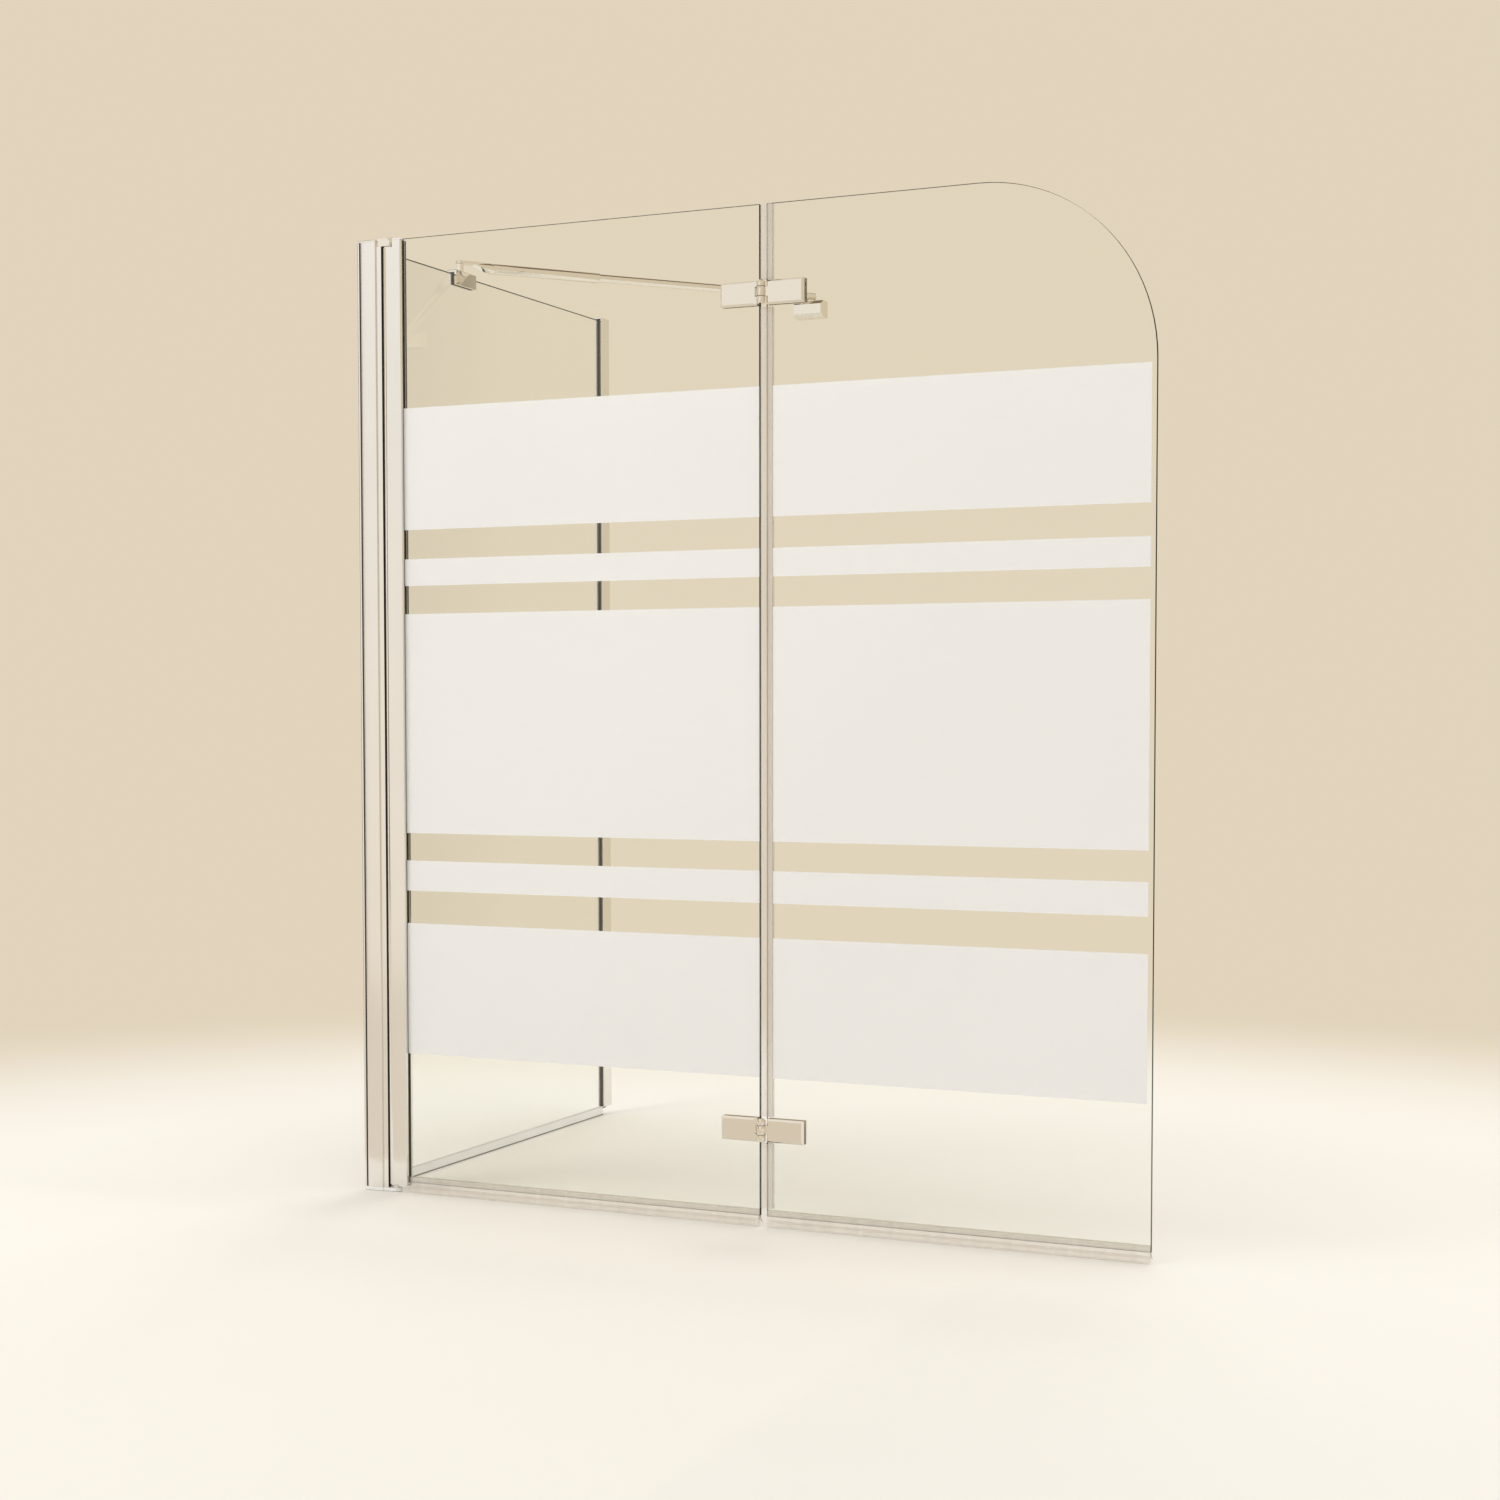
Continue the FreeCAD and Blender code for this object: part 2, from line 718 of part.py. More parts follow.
def make_front_plate(label, level, side, knuckles, bore):
    """A bevelled plate with its knuckles, and a pocket in its back that holds the screw's nut."""
    body = new_body(label)
    face = hinge_rectangle(sketch(body, "XZ", "plate_back"), side)
    plate = pad(body, face, "plate_thickness")
    soften(body, plate, ["y=min"], "plate_bevel", "Chamfer")
    for low, high in knuckles:
        add_knuckle(body, side, low, high)
    pin_hole = circle(sketch(body, "XY", "-barrel_half * 2"), "0", "-fold_offset", bore)
    cut(body, pin_hole)
    middle = f"hinge_screw_along * {side}"
    pocket = outline(sketch(body, "XZ", "plate_back"), [
        (f"{middle} - nut_corner", "0"), (f"{middle} - nut_corner / 2", "-nut_half"),
        (f"{middle} + nut_corner / 2", "-nut_half"), (f"{middle} + nut_corner", "0"),
        (f"{middle} + nut_corner / 2", "nut_half"), (f"{middle} - nut_corner / 2", "nut_half"),
    ])
    cut(body, pocket, "nut_height")
    put_hinge(body, level)


def make_back_plate(label, level, side):
    body = new_body(label)
    face = hinge_rectangle(sketch(body, "XZ", "-back_face"), side)
    plate = pad(body, face, "back_thickness")
    soften(body, plate, ["y=max"], "back_bevel", "Chamfer")
    hole = sketch(body, "XZ", "-back_face")
    circle(hole, f"hinge_screw_along * {side}", "0", "hinge_screw_radius + screw_slack")
    cut(body, hole)
    put_hinge(body, level)


def make_hinge_liners(label, level, side):
    """Clear liners between plates and glass, with a window round the screw."""
    liners = []
    middle = f"hinge_screw_along * {side}"
    for name, face in (("front", "glass_half"), ("back", "-plate_back")):
        body = doc.addObject("PartDesign::Body", f"{label}_{name}")
        drawing = hinge_rectangle(sketch(body, "XZ", face), side)
        rectangle(drawing, f"{middle} - liner_window_half", "-liner_window_half",
                  f"{middle} + liner_window_half", "liner_window_half")
        pad(body, drawing, "liner_thickness")
        liners.append(put_hinge(body, level))
    group(label, liners)


def make_hinge_screws(label, side):
    """Flat-headed screws from inside the bath, through the glass into nuts in the front plates."""
    screws = []
    nut_start = "(hinge_screw_head_height + back_face + plate_back)"
    for level in ("upper_level", "lower_level"):
        name = f"{label}_{level}"
        head = rod(f"{name}_head", "hinge_screw_head", "hinge_screw_head_height")
        shank = rod(f"{name}_shank", "hinge_screw_radius", nut_start)
        nut = hexagon(f"{name}_nut", "nut_corner", "nut_height", z=nut_start)
        whole = add_socket(name, fuse(f"{name}_body", [head, shank, nut]))
        along = f"fold_along + hinge_screw_along * {side}"
        top = "back_face + hinge_screw_head_height"
        screws.append(place(whole, along, top, level, "front"))
    group(label, screws)


def make_hinge_pins():
    """One pin down each barrel, with a bevelled head on top of the upper knuckle."""
    pins = []
    for name, level in (("upper", "upper_level"), ("lower", "lower_level")):
        shank = rod(f"hinge_pin_shank_{name}", "hinge_pin_radius",
                    "barrel_half * 2", z="-barrel_half")
        head = doc.addObject("Part::Cone", f"hinge_pin_head_{name}")
        bind(head, "Radius1", "hinge_pin_head")
        bind(head, "Radius2", "hinge_pin_radius")
        bind(head, "Height", "hinge_pin_head_height")
        pin = fuse(f"hinge_pin_{name}", [shank, place(head, z="barrel_half")])
        pins.append(place(pin, "fold_along", "-fold_offset", level))
    group("hinge_pins", pins)


def make_knuckle_bushes():
    bushes = []
    height = "middle_top - middle_bottom - knuckle_gap * 2"
    for name, level in (("upper", "upper_level"), ("lower", "lower_level")):
        bush = ring(f"knuckle_bush_{name}", "bush_outer", "hinge_pin_radius + pivot_running_gap",
                    "middle_bottom + knuckle_gap", height)
        bushes.append(place(bush, "fold_along", "-fold_offset", level))
    group("knuckle_bushes", bushes)


def make_hinges():
    outside = [("middle_top", "barrel_half"), ("-barrel_half", "middle_bottom")]
    inside = [("middle_bottom + knuckle_gap", "middle_top - knuckle_gap")]
    for name, level in (("upper", "upper_level"), ("lower", "lower_level")):
        make_front_plate(f"{name}_hinge_inner_plate", level, "-1", outside, "hinge_pin_radius")
        make_front_plate(f"{name}_hinge_outer_plate", level, "1", inside, "bush_outer")
        for leaf, side in (("inner", "-1"), ("outer", "1")):
            make_back_plate(f"{name}_hinge_{leaf}_back", level, side)
            make_hinge_liners(f"{name}_hinge_{leaf}_liner", level, side)
    make_hinge_screws("inner_hinge_screws", "-1")
    make_hinge_screws("outer_hinge_screws", "1")
    make_hinge_pins()
    make_knuckle_bushes()


# ---- leaf seals -------------------------------------------------------------------------------

def make_bottom_seal(label, left, right):
    """A clip-on seal: two legs up the glass, a skirt down to the rim and a fin that sheds water."""
    body = new_body(label)
    profile = sketch(body, "YZ", left)
    inside = "(glass_half + seal_slack)"
    outside = f"({inside} + seal_wall)"
    floor = "(rim_gap - seal_slack)"
    under = "(rim_gap - seal_body)"
    grip = "(rim_gap + seal_grip)"
    outline(profile, [
        (f"-{outside}", grip), (f"-{outside}", "seal_clearance"),
        (f"seal_wall - {outside}", "seal_clearance"), (f"seal_wall - {outside}", under),
        (f"{outside} - seal_wall * 1.5", under),
        (f"{outside} + fin_reach - seal_wall / 2", f"{under} - fin_reach - seal_wall / 2"),
        (f"{outside} + fin_reach", f"{under} - fin_reach"),
        (outside, f"{under} + seal_wall / 2"), (outside, grip), (inside, grip),
        (inside, floor), (f"-{inside}", floor), (f"-{inside}", grip),
    ])
    pad(body, profile, f"({right}) - ({left})")


def make_fold_seal():
    """The clear strip on the outer glass that closes the fold, cut away round the hinges."""
    stretches = [
        ("low", "rim_gap + seal_grip + fold_seal_stop", "lower_level - plate_half - fold_seal_stop"),
        ("middle", "lower_level + plate_half + fold_seal_stop",
         "upper_level - plate_half - fold_seal_stop"),
        ("high", "upper_level + plate_half + fold_seal_stop", "screen_height"),
    ]
    inside = "(glass_half + seal_slack)"
    outside = f"({inside} + fold_seal_wall)"
    web = "(outer_left - seal_slack)"
    grip = "(outer_left + fold_seal_grip)"
    tip = "inner_right + lip_gap"
    strips = []
    for name, low, high in stretches:
        body = doc.addObject("PartDesign::Body", f"fold_seal_{name}")
        profile = outline(sketch(body, "XY", low), [
            (tip, "-lip_half"), (f"{web} - fold_seal_wall", "-lip_half"),
            (f"{web} - fold_seal_wall", f"-{outside}"), (grip, f"-{outside}"),
            (grip, f"-{inside}"), (web, f"-{inside}"), (web, inside), (grip, inside),
            (grip, outside), (f"{web} - fold_seal_wall", outside),
            (f"{web} - fold_seal_wall", "lip_half"), (tip, "lip_half"),
        ])
        pad(body, profile, f"({high}) - ({low})")
        strips.append(body)
    group("fold_seal", strips)


# ---- side panel -------------------------------------------------------------------------------

def make_side_glass():
    body = new_body("side_glass")
    panel = sketch(body, "YZ", "-glass_half")
    rectangle(panel, "side_glass_start", "side_glass_bottom", "side_glass_end", "side_glass_top")
    pad(body, panel, "glass_thickness")


def make_post_gaskets():
    strips = []
    for name, side in (("left", "-jaw_inner"), ("right", "glass_half")):
        strips.append(box(f"post_gasket_{name}", (side, "side_glass_start", "side_glass_bottom"),
                          ("jaw_inner - glass_half", "jaw_end - side_glass_start",
                           "side_glass_top - side_glass_bottom")))
    group("post_gaskets", strips)


def make_glass_setting_block():
    block = box("glass_setting_block", ("-glass_half", "side_glass_start", "foot_thickness"),
                ("glass_thickness", "setting_block_length", "side_glass_bottom - foot_thickness"))
    keep(block, "glass_setting_block")


def make_side_rim_seal():
    """The strip that the side glass stands in, all along the rim."""
    body = new_body("side_rim_seal")
    end = "channel_front - rim_seal_end_gap"
    lip = "side_glass_bottom + rim_seal_grip"
    inside = "(glass_half + seal_slack)"
    profile = sketch(body, "XZ", f"-({end})")
    outline(profile, [
        ("-rim_seal_half", "0"), ("rim_seal_half", "0"), ("rim_seal_half", lip), (inside, lip),
        (inside, "side_glass_bottom"), (f"-{inside}", "side_glass_bottom"), (f"-{inside}", lip),
        ("-rim_seal_half", lip),
    ])
    pad(body, profile, f"{end} - (jaw_end + rim_seal_end_gap)")


def make_wall_channel():
    body = new_body("wall_channel")
    profile = sketch(body, "XY", "channel_bottom")
    rectangle(profile, "-channel_half", "channel_front", "channel_half", "wall_along")
    pad(body, profile, "channel_top - channel_bottom")
    inside = sketch(body, "XY", "channel_bottom")
    rectangle(inside, "channel_side - channel_half", "channel_front - channel_side",
              "channel_half - channel_side", "wall_along - channel_back")
    cut(body, inside)
    holes = sketch(body, "XZ", "-wall_along")
    for step in (-1, 0, 1):
        circle(holes, "0", f"channel_hole_height + channel_hole_pitch * {step}", "channel_hole")
    cut(body, holes, "channel_back")


def make_channel_gaskets():
    strips = []
    width = "channel_half - channel_side - glass_half"
    for name, side in (("left", "channel_side - channel_half"), ("right", "glass_half")):
        strips.append(box(f"channel_gasket_{name}", (side, "channel_front", "channel_bottom"),
                          (width, "gasket_depth", "side_glass_top - channel_bottom")))
    group("channel_gaskets", strips)


def make_channel_cap():
    cap = box("channel_cap", ("-channel_half", "channel_front", "channel_top"),
              ("channel_half * 2", "channel_depth", "channel_cap"))
    keep(cap, "channel_cap")


# ---- clamp, stabiliser bar and wall bracket ---------------------------------------------------

def clamp_outline(outer, inner, top, slot_top):
    return [
        (f"-({outer})", "clamp_bottom"), (f"-({inner})", "clamp_bottom"),
        (f"-({inner})", slot_top), (inner, slot_top), (inner, "clamp_bottom"),
        (outer, "clamp_bottom"), (outer, top), (f"-({outer})", top),
    ]


def make_glass_clamp():
    """The metal saddle that grips the top edge of the side glass."""
    body = new_body("glass_clamp")
    slot = "glass_half + clamp_liner"
    profile = sketch(body, "XZ", "-clamp_along - clamp_back")
    outline(profile, clamp_outline("clamp_half", slot, "clamp_top", "clamp_slot_top"))
    saddle = pad(body, profile, "clamp_front + clamp_back")
    soften(body, saddle, ["z=max"], "clamp_edge")
    thread = circle(sketch(body, "XY", "clamp_slot_top"), "0", "clamp_along", "bar_screw_radius")
    cut(body, thread)


def make_clamp_liner():
    body = new_body("clamp_liner")
    profile = sketch(body, "XZ", "-clamp_along - clamp_back")
    outline(profile, clamp_outline("glass_half + clamp_liner", "glass_half",
                                   "clamp_slot_top", "side_glass_top"))
    pad(body, profile, "clamp_front + clamp_back")


def make_swivel_post():
    """The hexagonal spacer on the clamp that the bar's tongue turns on."""
    height = "bar_rise + tongue_bottom"
    bar = hexagon("swivel_post_bar", "swivel_corner", height, z="clamp_top")
    bore = rod("swivel_post_bore", "bar_screw_radius + screw_slack", f"({height}) * 3",
               z=f"clamp_top - ({height})")
    keep(place(subtract("swivel_post", bar, bore), y="clamp_along"), "swivel_post")


def make_swivel_screw():
    """The headless screw down through the tongue's thread and the spacer into the clamp's web."""
    stud = rod("swivel_stud", "bar_screw_radius", "bar_radius + bar_rise + clamp_web - screw_slack")
    whole = add_socket("swivel_screw", stud)
    keep(place(whole, "0", "clamp_along", "bar_level + bar_radius", "down"), "swivel_screw")


def put_bar(thing):
    """Bar pieces are drawn along +X from the swivel's axis, and turned towards the bracket."""
    thing.Placement = Placement(Vector(), Rotation(Vector(0, 0, 1), 1))
    bind(thing, "Placement.Base.y", "clamp_along")
    bind(thing, "Placement.Base.z", "bar_level")
    bind(thing, "Placement.Rotation.Angle", "bar_turn")
    return thing


def make_bar_eye():
    """The flattened end of the bar: a thin tongue that swells to the tube's roundness."""
    body = new_body("bar_eye")
    swell = circle(sketch(body, "YZ", "taper_start"), "0", "0", "bar_radius")
    pad(body, swell, "eye_length - taper_start")
    wedge = sketch(body, "XZ", "-bar_radius * 2")
    outline(wedge, [
        ("0", "tongue_bottom"), ("taper_start", "tongue_bottom"),
        ("taper_end", "-bar_radius"), ("taper_end", "-bar_radius * 2"), ("0", "-bar_radius * 2"),
    ])
    cut(body, wedge, "bar_radius * 4")
    tongue = sketch(body, "XY", "tongue_bottom")
    outline(tongue, [
        ("0", "-bar_radius"), ("taper_start", "-bar_radius"), ("taper_end", "-tongue_thickness / 2"),
        ("taper_end", "tongue_thickness / 2"), ("taper_start", "bar_radius"), ("0", "bar_radius"),
    ])
    pad(body, tongue, "tongue_thickness")
    nose = circle(sketch(body, "XY", "tongue_bottom"), "0", "0", "bar_radius")
    pad(body, nose, "tongue_thickness")
    cut(body, circle(sketch(body, "XY", "tongue_bottom"), "0", "0", "bar_screw_radius"))
    put_bar(body)


def make_bar_outer_tube():
    body = new_body("bar_outer_tube")
    wall = circle(sketch(body, "YZ", "eye_length"), "0", "0", "bar_radius")
    circle(wall, "0", "0", "tube_bore")
    pad(body, wall, "tube_end - eye_length")
    put_bar(body)


def make_bar_inner_rod():
    body = new_body("bar_inner_rod")
    start = "(tube_end - rod_overlap)"
    shaft = circle(sketch(body, "YZ", start), "0", "0", "rod_radius")
    pad(body, shaft, f"bar_span + rod_end - {start}")
    flat = sketch(body, "XZ", "-rod_radius * 2")
    rectangle(flat, "bar_span - rod_end", "rod_radius - rod_flat",
              "bar_span + rod_end * 2", "rod_radius * 2")
    cut(body, flat, "rod_radius * 4")
    thread = sketch(body, "XY", "-rod_radius * 2")
    cut(body, circle(thread, "bar_span", "0", "bar_screw_radius"))
    put_bar(body)


def make_wall_bracket():
    """A bevelled block, hollow at the back so that it drops over its base plate."""
    body = new_body("wall_bracket")
    face = sketch(body, "XZ", "-wall_along")
    rectangle(face, "bracket_left", "bracket_bottom", "bracket_right", "bracket_top")
    block = pad(body, face, "bracket_depth")
    top = soften(body, block, ["y=min", "z=max"], "bracket_bevel", "Chamfer")
    bottom = soften(body, top, ["y=min", "z=min"], "bracket_bevel", "Chamfer")
    left = soften(body, bottom, ["y=min", "x=min"], "bracket_side_bevel", "Chamfer")
    soften(body, left, ["y=min", "x=max"], "bracket_side_bevel", "Chamfer")
    hollow = sketch(body, "XZ", "-wall_along")
    rectangle(hollow, "bracket_left + bracket_wall", "bracket_bottom + bracket_wall",
              "bracket_right - bracket_wall", "bracket_top - bracket_wall")
    cut(body, hollow, "bracket_depth - bracket_bevel - bracket_wall")
    saddle = circle(sketch(body, "XY", "bracket_top"), "bracket_along", "saddle_along", "saddle_radius")
    pad(body, saddle, "bar_level - rod_radius - bracket_top")
    thread = sketch(body, "XY", "bracket_top - bracket_wall")
    circle(thread, "bracket_along", "saddle_along", "bar_screw_radius")
    cut(body, thread)


def make_bracket_base_plate():
    body = new_body("bracket_base_plate")
    inset = "(bracket_wall + base_slack)"
    face = sketch(body, "XZ", "-wall_along")
    rectangle(face, f"bracket_left + {inset}", f"bracket_bottom + {inset}",
              f"bracket_right - {inset}", f"bracket_top - {inset}")
    for side in ("-", "+"):
        circle(face, f"bracket_along {side} base_hole_pitch / 2", "bracket_middle", "base_hole")
    pad(body, face, "base_thickness")


def make_bar_end_screw():
    """The headless screw down through the bar's end into the bracket's saddle."""
    whole = add_socket("bar_end_screw", rod("bar_end_stud", "bar_screw_radius", "end_screw_length"))
    top = "bar_level + rod_radius - rod_flat"
    keep(place(whole, "bracket_along", "saddle_along", top, "down"), "bar_end_screw")


make_corner_post()
make_post_top_cap()
make_foot_plate()
make_hinge_rail()
make_wiper_seal()
make_top_pivot_block()
make_pivot_pins()
make_thrust_washer()
make_pivot_profile()
make_profile_top_cap()
make_profile_bottom_cap()
make_pivot_bushes()
make_profile_gaskets()
make_inner_glass()
make_outer_glass()
make_hinges()
make_bottom_seal("inner_bottom_seal", "profile_right + seal_end_gap", "inner_right - seal_end_gap")
make_bottom_seal("outer_bottom_seal", "outer_left + seal_end_gap / 2",
                 "outer_right - seal_end_gap / 2")
make_fold_seal()
make_side_glass()
make_post_gaskets()
make_glass_setting_block()
make_side_rim_seal()
make_wall_channel()
make_channel_gaskets()
make_channel_cap()
make_glass_clamp()
make_clamp_liner()
make_swivel_post()
make_swivel_screw()
make_bar_eye()
make_bar_outer_tube()
make_bar_inner_rod()
make_wall_bracket()
make_bracket_base_plate()
make_bar_end_screw()
doc.recompute()

for item in doc.Objects:
    if "Invalid" in item.State or "Error" in item.State:
        raise RuntimeError(f"{item.Name} failed: {item.State}")
for item in nodes:
    if item.Shape.isNull() or not item.Shape.isValid():
        raise RuntimeError(f"{item.Label} has no sound shape")

os.makedirs("parts", exist_ok=True)
for item in nodes:
    item.Shape.exportStep(f"parts/{item.Label}.step")
print(len(nodes), "pieces written")
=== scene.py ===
import json
import math

import bmesh
import bpy
from mathutils import Matrix, Vector


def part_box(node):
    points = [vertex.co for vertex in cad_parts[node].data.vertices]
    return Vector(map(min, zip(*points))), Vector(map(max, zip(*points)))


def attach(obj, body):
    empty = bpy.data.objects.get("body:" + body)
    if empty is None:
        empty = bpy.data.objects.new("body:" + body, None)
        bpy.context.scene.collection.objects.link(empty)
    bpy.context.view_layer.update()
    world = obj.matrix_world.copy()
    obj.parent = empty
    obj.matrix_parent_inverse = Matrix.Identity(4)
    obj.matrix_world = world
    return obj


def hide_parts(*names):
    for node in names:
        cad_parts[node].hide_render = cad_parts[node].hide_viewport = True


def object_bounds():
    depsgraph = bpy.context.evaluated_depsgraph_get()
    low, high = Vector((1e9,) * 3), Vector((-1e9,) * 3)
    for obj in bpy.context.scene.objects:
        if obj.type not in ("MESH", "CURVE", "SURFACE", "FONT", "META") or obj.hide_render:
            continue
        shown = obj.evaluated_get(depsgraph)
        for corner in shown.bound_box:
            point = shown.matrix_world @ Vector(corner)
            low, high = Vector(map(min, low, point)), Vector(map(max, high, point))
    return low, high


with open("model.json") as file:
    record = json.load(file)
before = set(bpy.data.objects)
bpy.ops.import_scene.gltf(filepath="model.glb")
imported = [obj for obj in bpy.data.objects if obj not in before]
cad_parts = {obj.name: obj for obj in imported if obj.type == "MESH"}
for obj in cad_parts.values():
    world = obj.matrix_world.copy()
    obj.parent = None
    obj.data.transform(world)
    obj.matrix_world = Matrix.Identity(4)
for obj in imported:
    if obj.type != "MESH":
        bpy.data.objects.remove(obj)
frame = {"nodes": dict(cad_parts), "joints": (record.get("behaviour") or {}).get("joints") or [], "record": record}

# Looks for the folding bath screen. Everything is in metres, in the frame of the solids: X runs
# along the front panel, Y towards the wall, Z up, and the origin is on the bath rim.

cad_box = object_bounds()
NODES = frame["nodes"]

# ---- the camera, which stands where the photograph was taken ---------------------------------

CAMERA_PLACE = (1.96669, -2.93282, 0.70892)
CAMERA_TURN = (87.2928, 0.0125, 23.9942)    # degrees
CAMERA_LENS = 56.2865
CAMERA_SHIFT = (-0.018794, 0.04985)

# ---- rounded edges -----------------------------------------------------------------------------

METAL_EDGE = 0.0004
SOFT_EDGE = 0.0003
THIN_EDGE = 0.0002
GLASS_BEVEL = 0.0015
ROUNDED = {   # the nodes whose sharp edges are rounded off by each width
    METAL_EDGE: ("post_top_cap", "foot_plate", "hinge_rail", "top_pivot_block",
                 "pivot_profile", "profile_top_cap", "profile_bottom_cap", "glass_clamp",
                 "wall_bracket", "wall_channel", "channel_cap", "side_rim_seal",
                 "upper_hinge_inner_plate", "upper_hinge_outer_plate",
                 "lower_hinge_inner_plate", "lower_hinge_outer_plate"),
    THIN_EDGE: ("upper_hinge_inner_back", "upper_hinge_outer_back", "lower_hinge_inner_back",
                "lower_hinge_outer_back", "inner_hinge_screws", "outer_hinge_screws", "bar_eye",
                "bar_outer_tube", "swivel_post", "bracket_base_plate", "inner_bottom_seal",
                "outer_bottom_seal", "fold_seal"),
    GLASS_BEVEL: ("inner_glass", "outer_glass", "side_glass"),
}
SAME_POINT = 0.000001    # points this near each other are one
SAME_PLANE = 0.5         # triangles within this turn, in degrees, are one face
SHARP_TURN = 30          # edges that turn by more degrees than this are sharp

# ---- the frosted bands, from low to high on both leaves ----------------------------------------

FROST_BANDS = ((0.2075, 0.4010), (0.4490, 0.4935), (0.5340, 0.8550), (0.8960, 0.9350),
               (0.9775, 1.1545))
FROST_EDGE = 0.0065      # from the bands to the free edge of the outer glass
FROST_THICKNESS = 0.00008
FROST_GAP = 0.00002      # keeps the bands' back off the face of the glass

# ---- the post's section ------------------------------------------------------------------------

POST_WALL = 0.0025
JAW_HALF = 0.010         # from the middle of the side glass to the outside of a jaw
SHOULDER = 0.014         # the Y where the jaws leave the chamber
SLOT_HALF = 0.00215      # half the width of the slot that the rail's key passes
FACE_CORNER = 0.0006     # the radius at the right of the flat face
LIP_START = 0.0096       # from the left side to the start of the flat face
LIP_RADIUS = 0.0032      # the curve from the face down into the groove
GROOVE_LEFT = 0.0052     # the groove's floor, from the left side
GROOVE_RIGHT = 0.0064
GROOVE_DEPTH = 0.0016
STRIP_STEP = 0.0008      # how far the rounded left strip stands back from the face
STRIP_CORNER = 0.0005    # its radius by the groove
LEFT_CORNER = 0.0025     # its radius at the post's left side
GROOVE_SHADE_LOW = (0.0050, 0.0006)     # the dark strip that paints the groove's shade, from the left side and the face
GROOVE_SHADE_HIGH = (0.0066, 0.0022)
SMOOTH_TURN = 28         # the curves turn by fewer degrees than this from face to face

# ---- the dark rings in the hinge barrels, which paint the shade in their joints ----------------

HINGE_LEVELS = (1.28, 0.135)
KNUCKLE_RADIUS = 0.006
KNUCKLE_ENDS = ((0.0078, 1), (-0.0056, -1))    # an end's height, and 1 for a knuckle above it
JOINT_HALF = 0.000175    # half the gap between two knuckles
RING_HEIGHT = 0.0010
RING_DEPTH = 0.0002      # from the knuckle's surface to the ring's inside
RING_INSET = 0.00003     # from the knuckle's surface to the ring's outside
RING_SOFT = 0.0001       # the ring's bevel
RING_STEPS = 48

# ---- the headless screws, and the dark bead that paints the rim's contact shadow ---------------

SCREW_RADIUS = 0.002
SCREW_STEPS = 24
SCREW_FOOT = -0.0005     # heights from the surface that the screw sits in
SCREW_SHOULDER = 0.00025
SCREW_TOP = 0.0005
SOCKET_FLOOR = -0.0004
SCREW_CHAMFER = 0.85     # the top's share of the radius
SOCKET_REACH = 0.55      # the hexagon's share of the radius
CLAMP_SCREW_INSET = 0.014          # from either end of the clamp
CLAMP_SCREW_LEVEL = 0.008          # from its foot
TUBE_SCREW_RADIUS = 0.0018
TUBE_END_INSET = (0.0061, 0.0052)  # from the corner of the tube's box to the middle of its end
TUBE_SCREW_BACK = 0.009            # from that end, along the tube
BRACKET_SCREW_BACK = 0.010         # from the wall
BEAD_REACH = 0.0012
BEAD_ROOT = 0.0004       # how deep the bead goes into the rim strip

# ---- the studio --------------------------------------------------------------------------------

FLOOR_MIDDLE = (0.9, -0.7)
FLOOR_RADIUS = 12.0
FLOOR_STEPS = 96
FLOOR_DROP = 0.0005      # how far the floor lies below the screen's foot
FLOOR_FADE = (1.7, 3.3)
LAMP_TARGET = (0.6, 0.36, 0.7)
FILL = 0.86
LAMPS = {   # place, size, glow
    "key": ((-2.0, -2.8, 3.4), (1.8, 1.8), 4.6),
    "back": ((0.2, 3.6, 3.2), (2.4, 1.6), 4),
    "right": ((3.2, 0.6, 2.6), (1.8, 1.8), 1.4),
}
UPWARDS = ("Y", 0.0, 1.0)      # a fade's axis on the card, and its start and end as shares of it
SIDEWAYS = ("X", 0.45, 0.6)
UPRIGHT_CARDS = {   # place, size, turn about Z, fade, the colours at its start and end
    "front_card": ((-0.325, -2.4, 1.25), (3.25, 2.5), 0, UPWARDS,
                   (246, 237, 222), (255, 253, 249)),
    "tan_card": ((-2.05, -1.52, 1.25), (1.32, 2.5), -53, UPWARDS,
                 (132, 112, 84), (158, 138, 108)),
    "left_card": ((-2.44, -0.56, 1.25), (1.25, 2.5), -77, UPWARDS,
                  (255, 250, 240), (255, 252, 246)),
    "grey_card": ((-2.44, 0.52, 1.25), (0.5, 2.5), -102, UPWARDS,
                  (140, 130, 116), (160, 150, 136)),
    "rear_card": ((-1.92, 1.6, 1.25), (1.7, 2.5), -130, UPWARDS,
                  (250, 246, 238), (252, 250, 246)),
    "right_card": ((2.0, 3.6, 1.2), (2.6, 2.4), 0, SIDEWAYS,
                   (222, 208, 180), (52, 42, 28)),
}
LEVEL_CARDS = {   # place, size, colour
    "low_card": ((-0.45, -1.3, 0.004), (2.9, 2.2), (232, 221, 205)),
    "high_front_card": ((-0.8, -1.5, 3.4), (3.0, 2.6), (252, 248, 240)),
    "high_rear_card": ((-0.3, 1.4, 3.4), (3.0, 2.7), (120, 100, 72)),
}

# ---- colours, as red, green and blue from 0 to 255 ---------------------------------------------

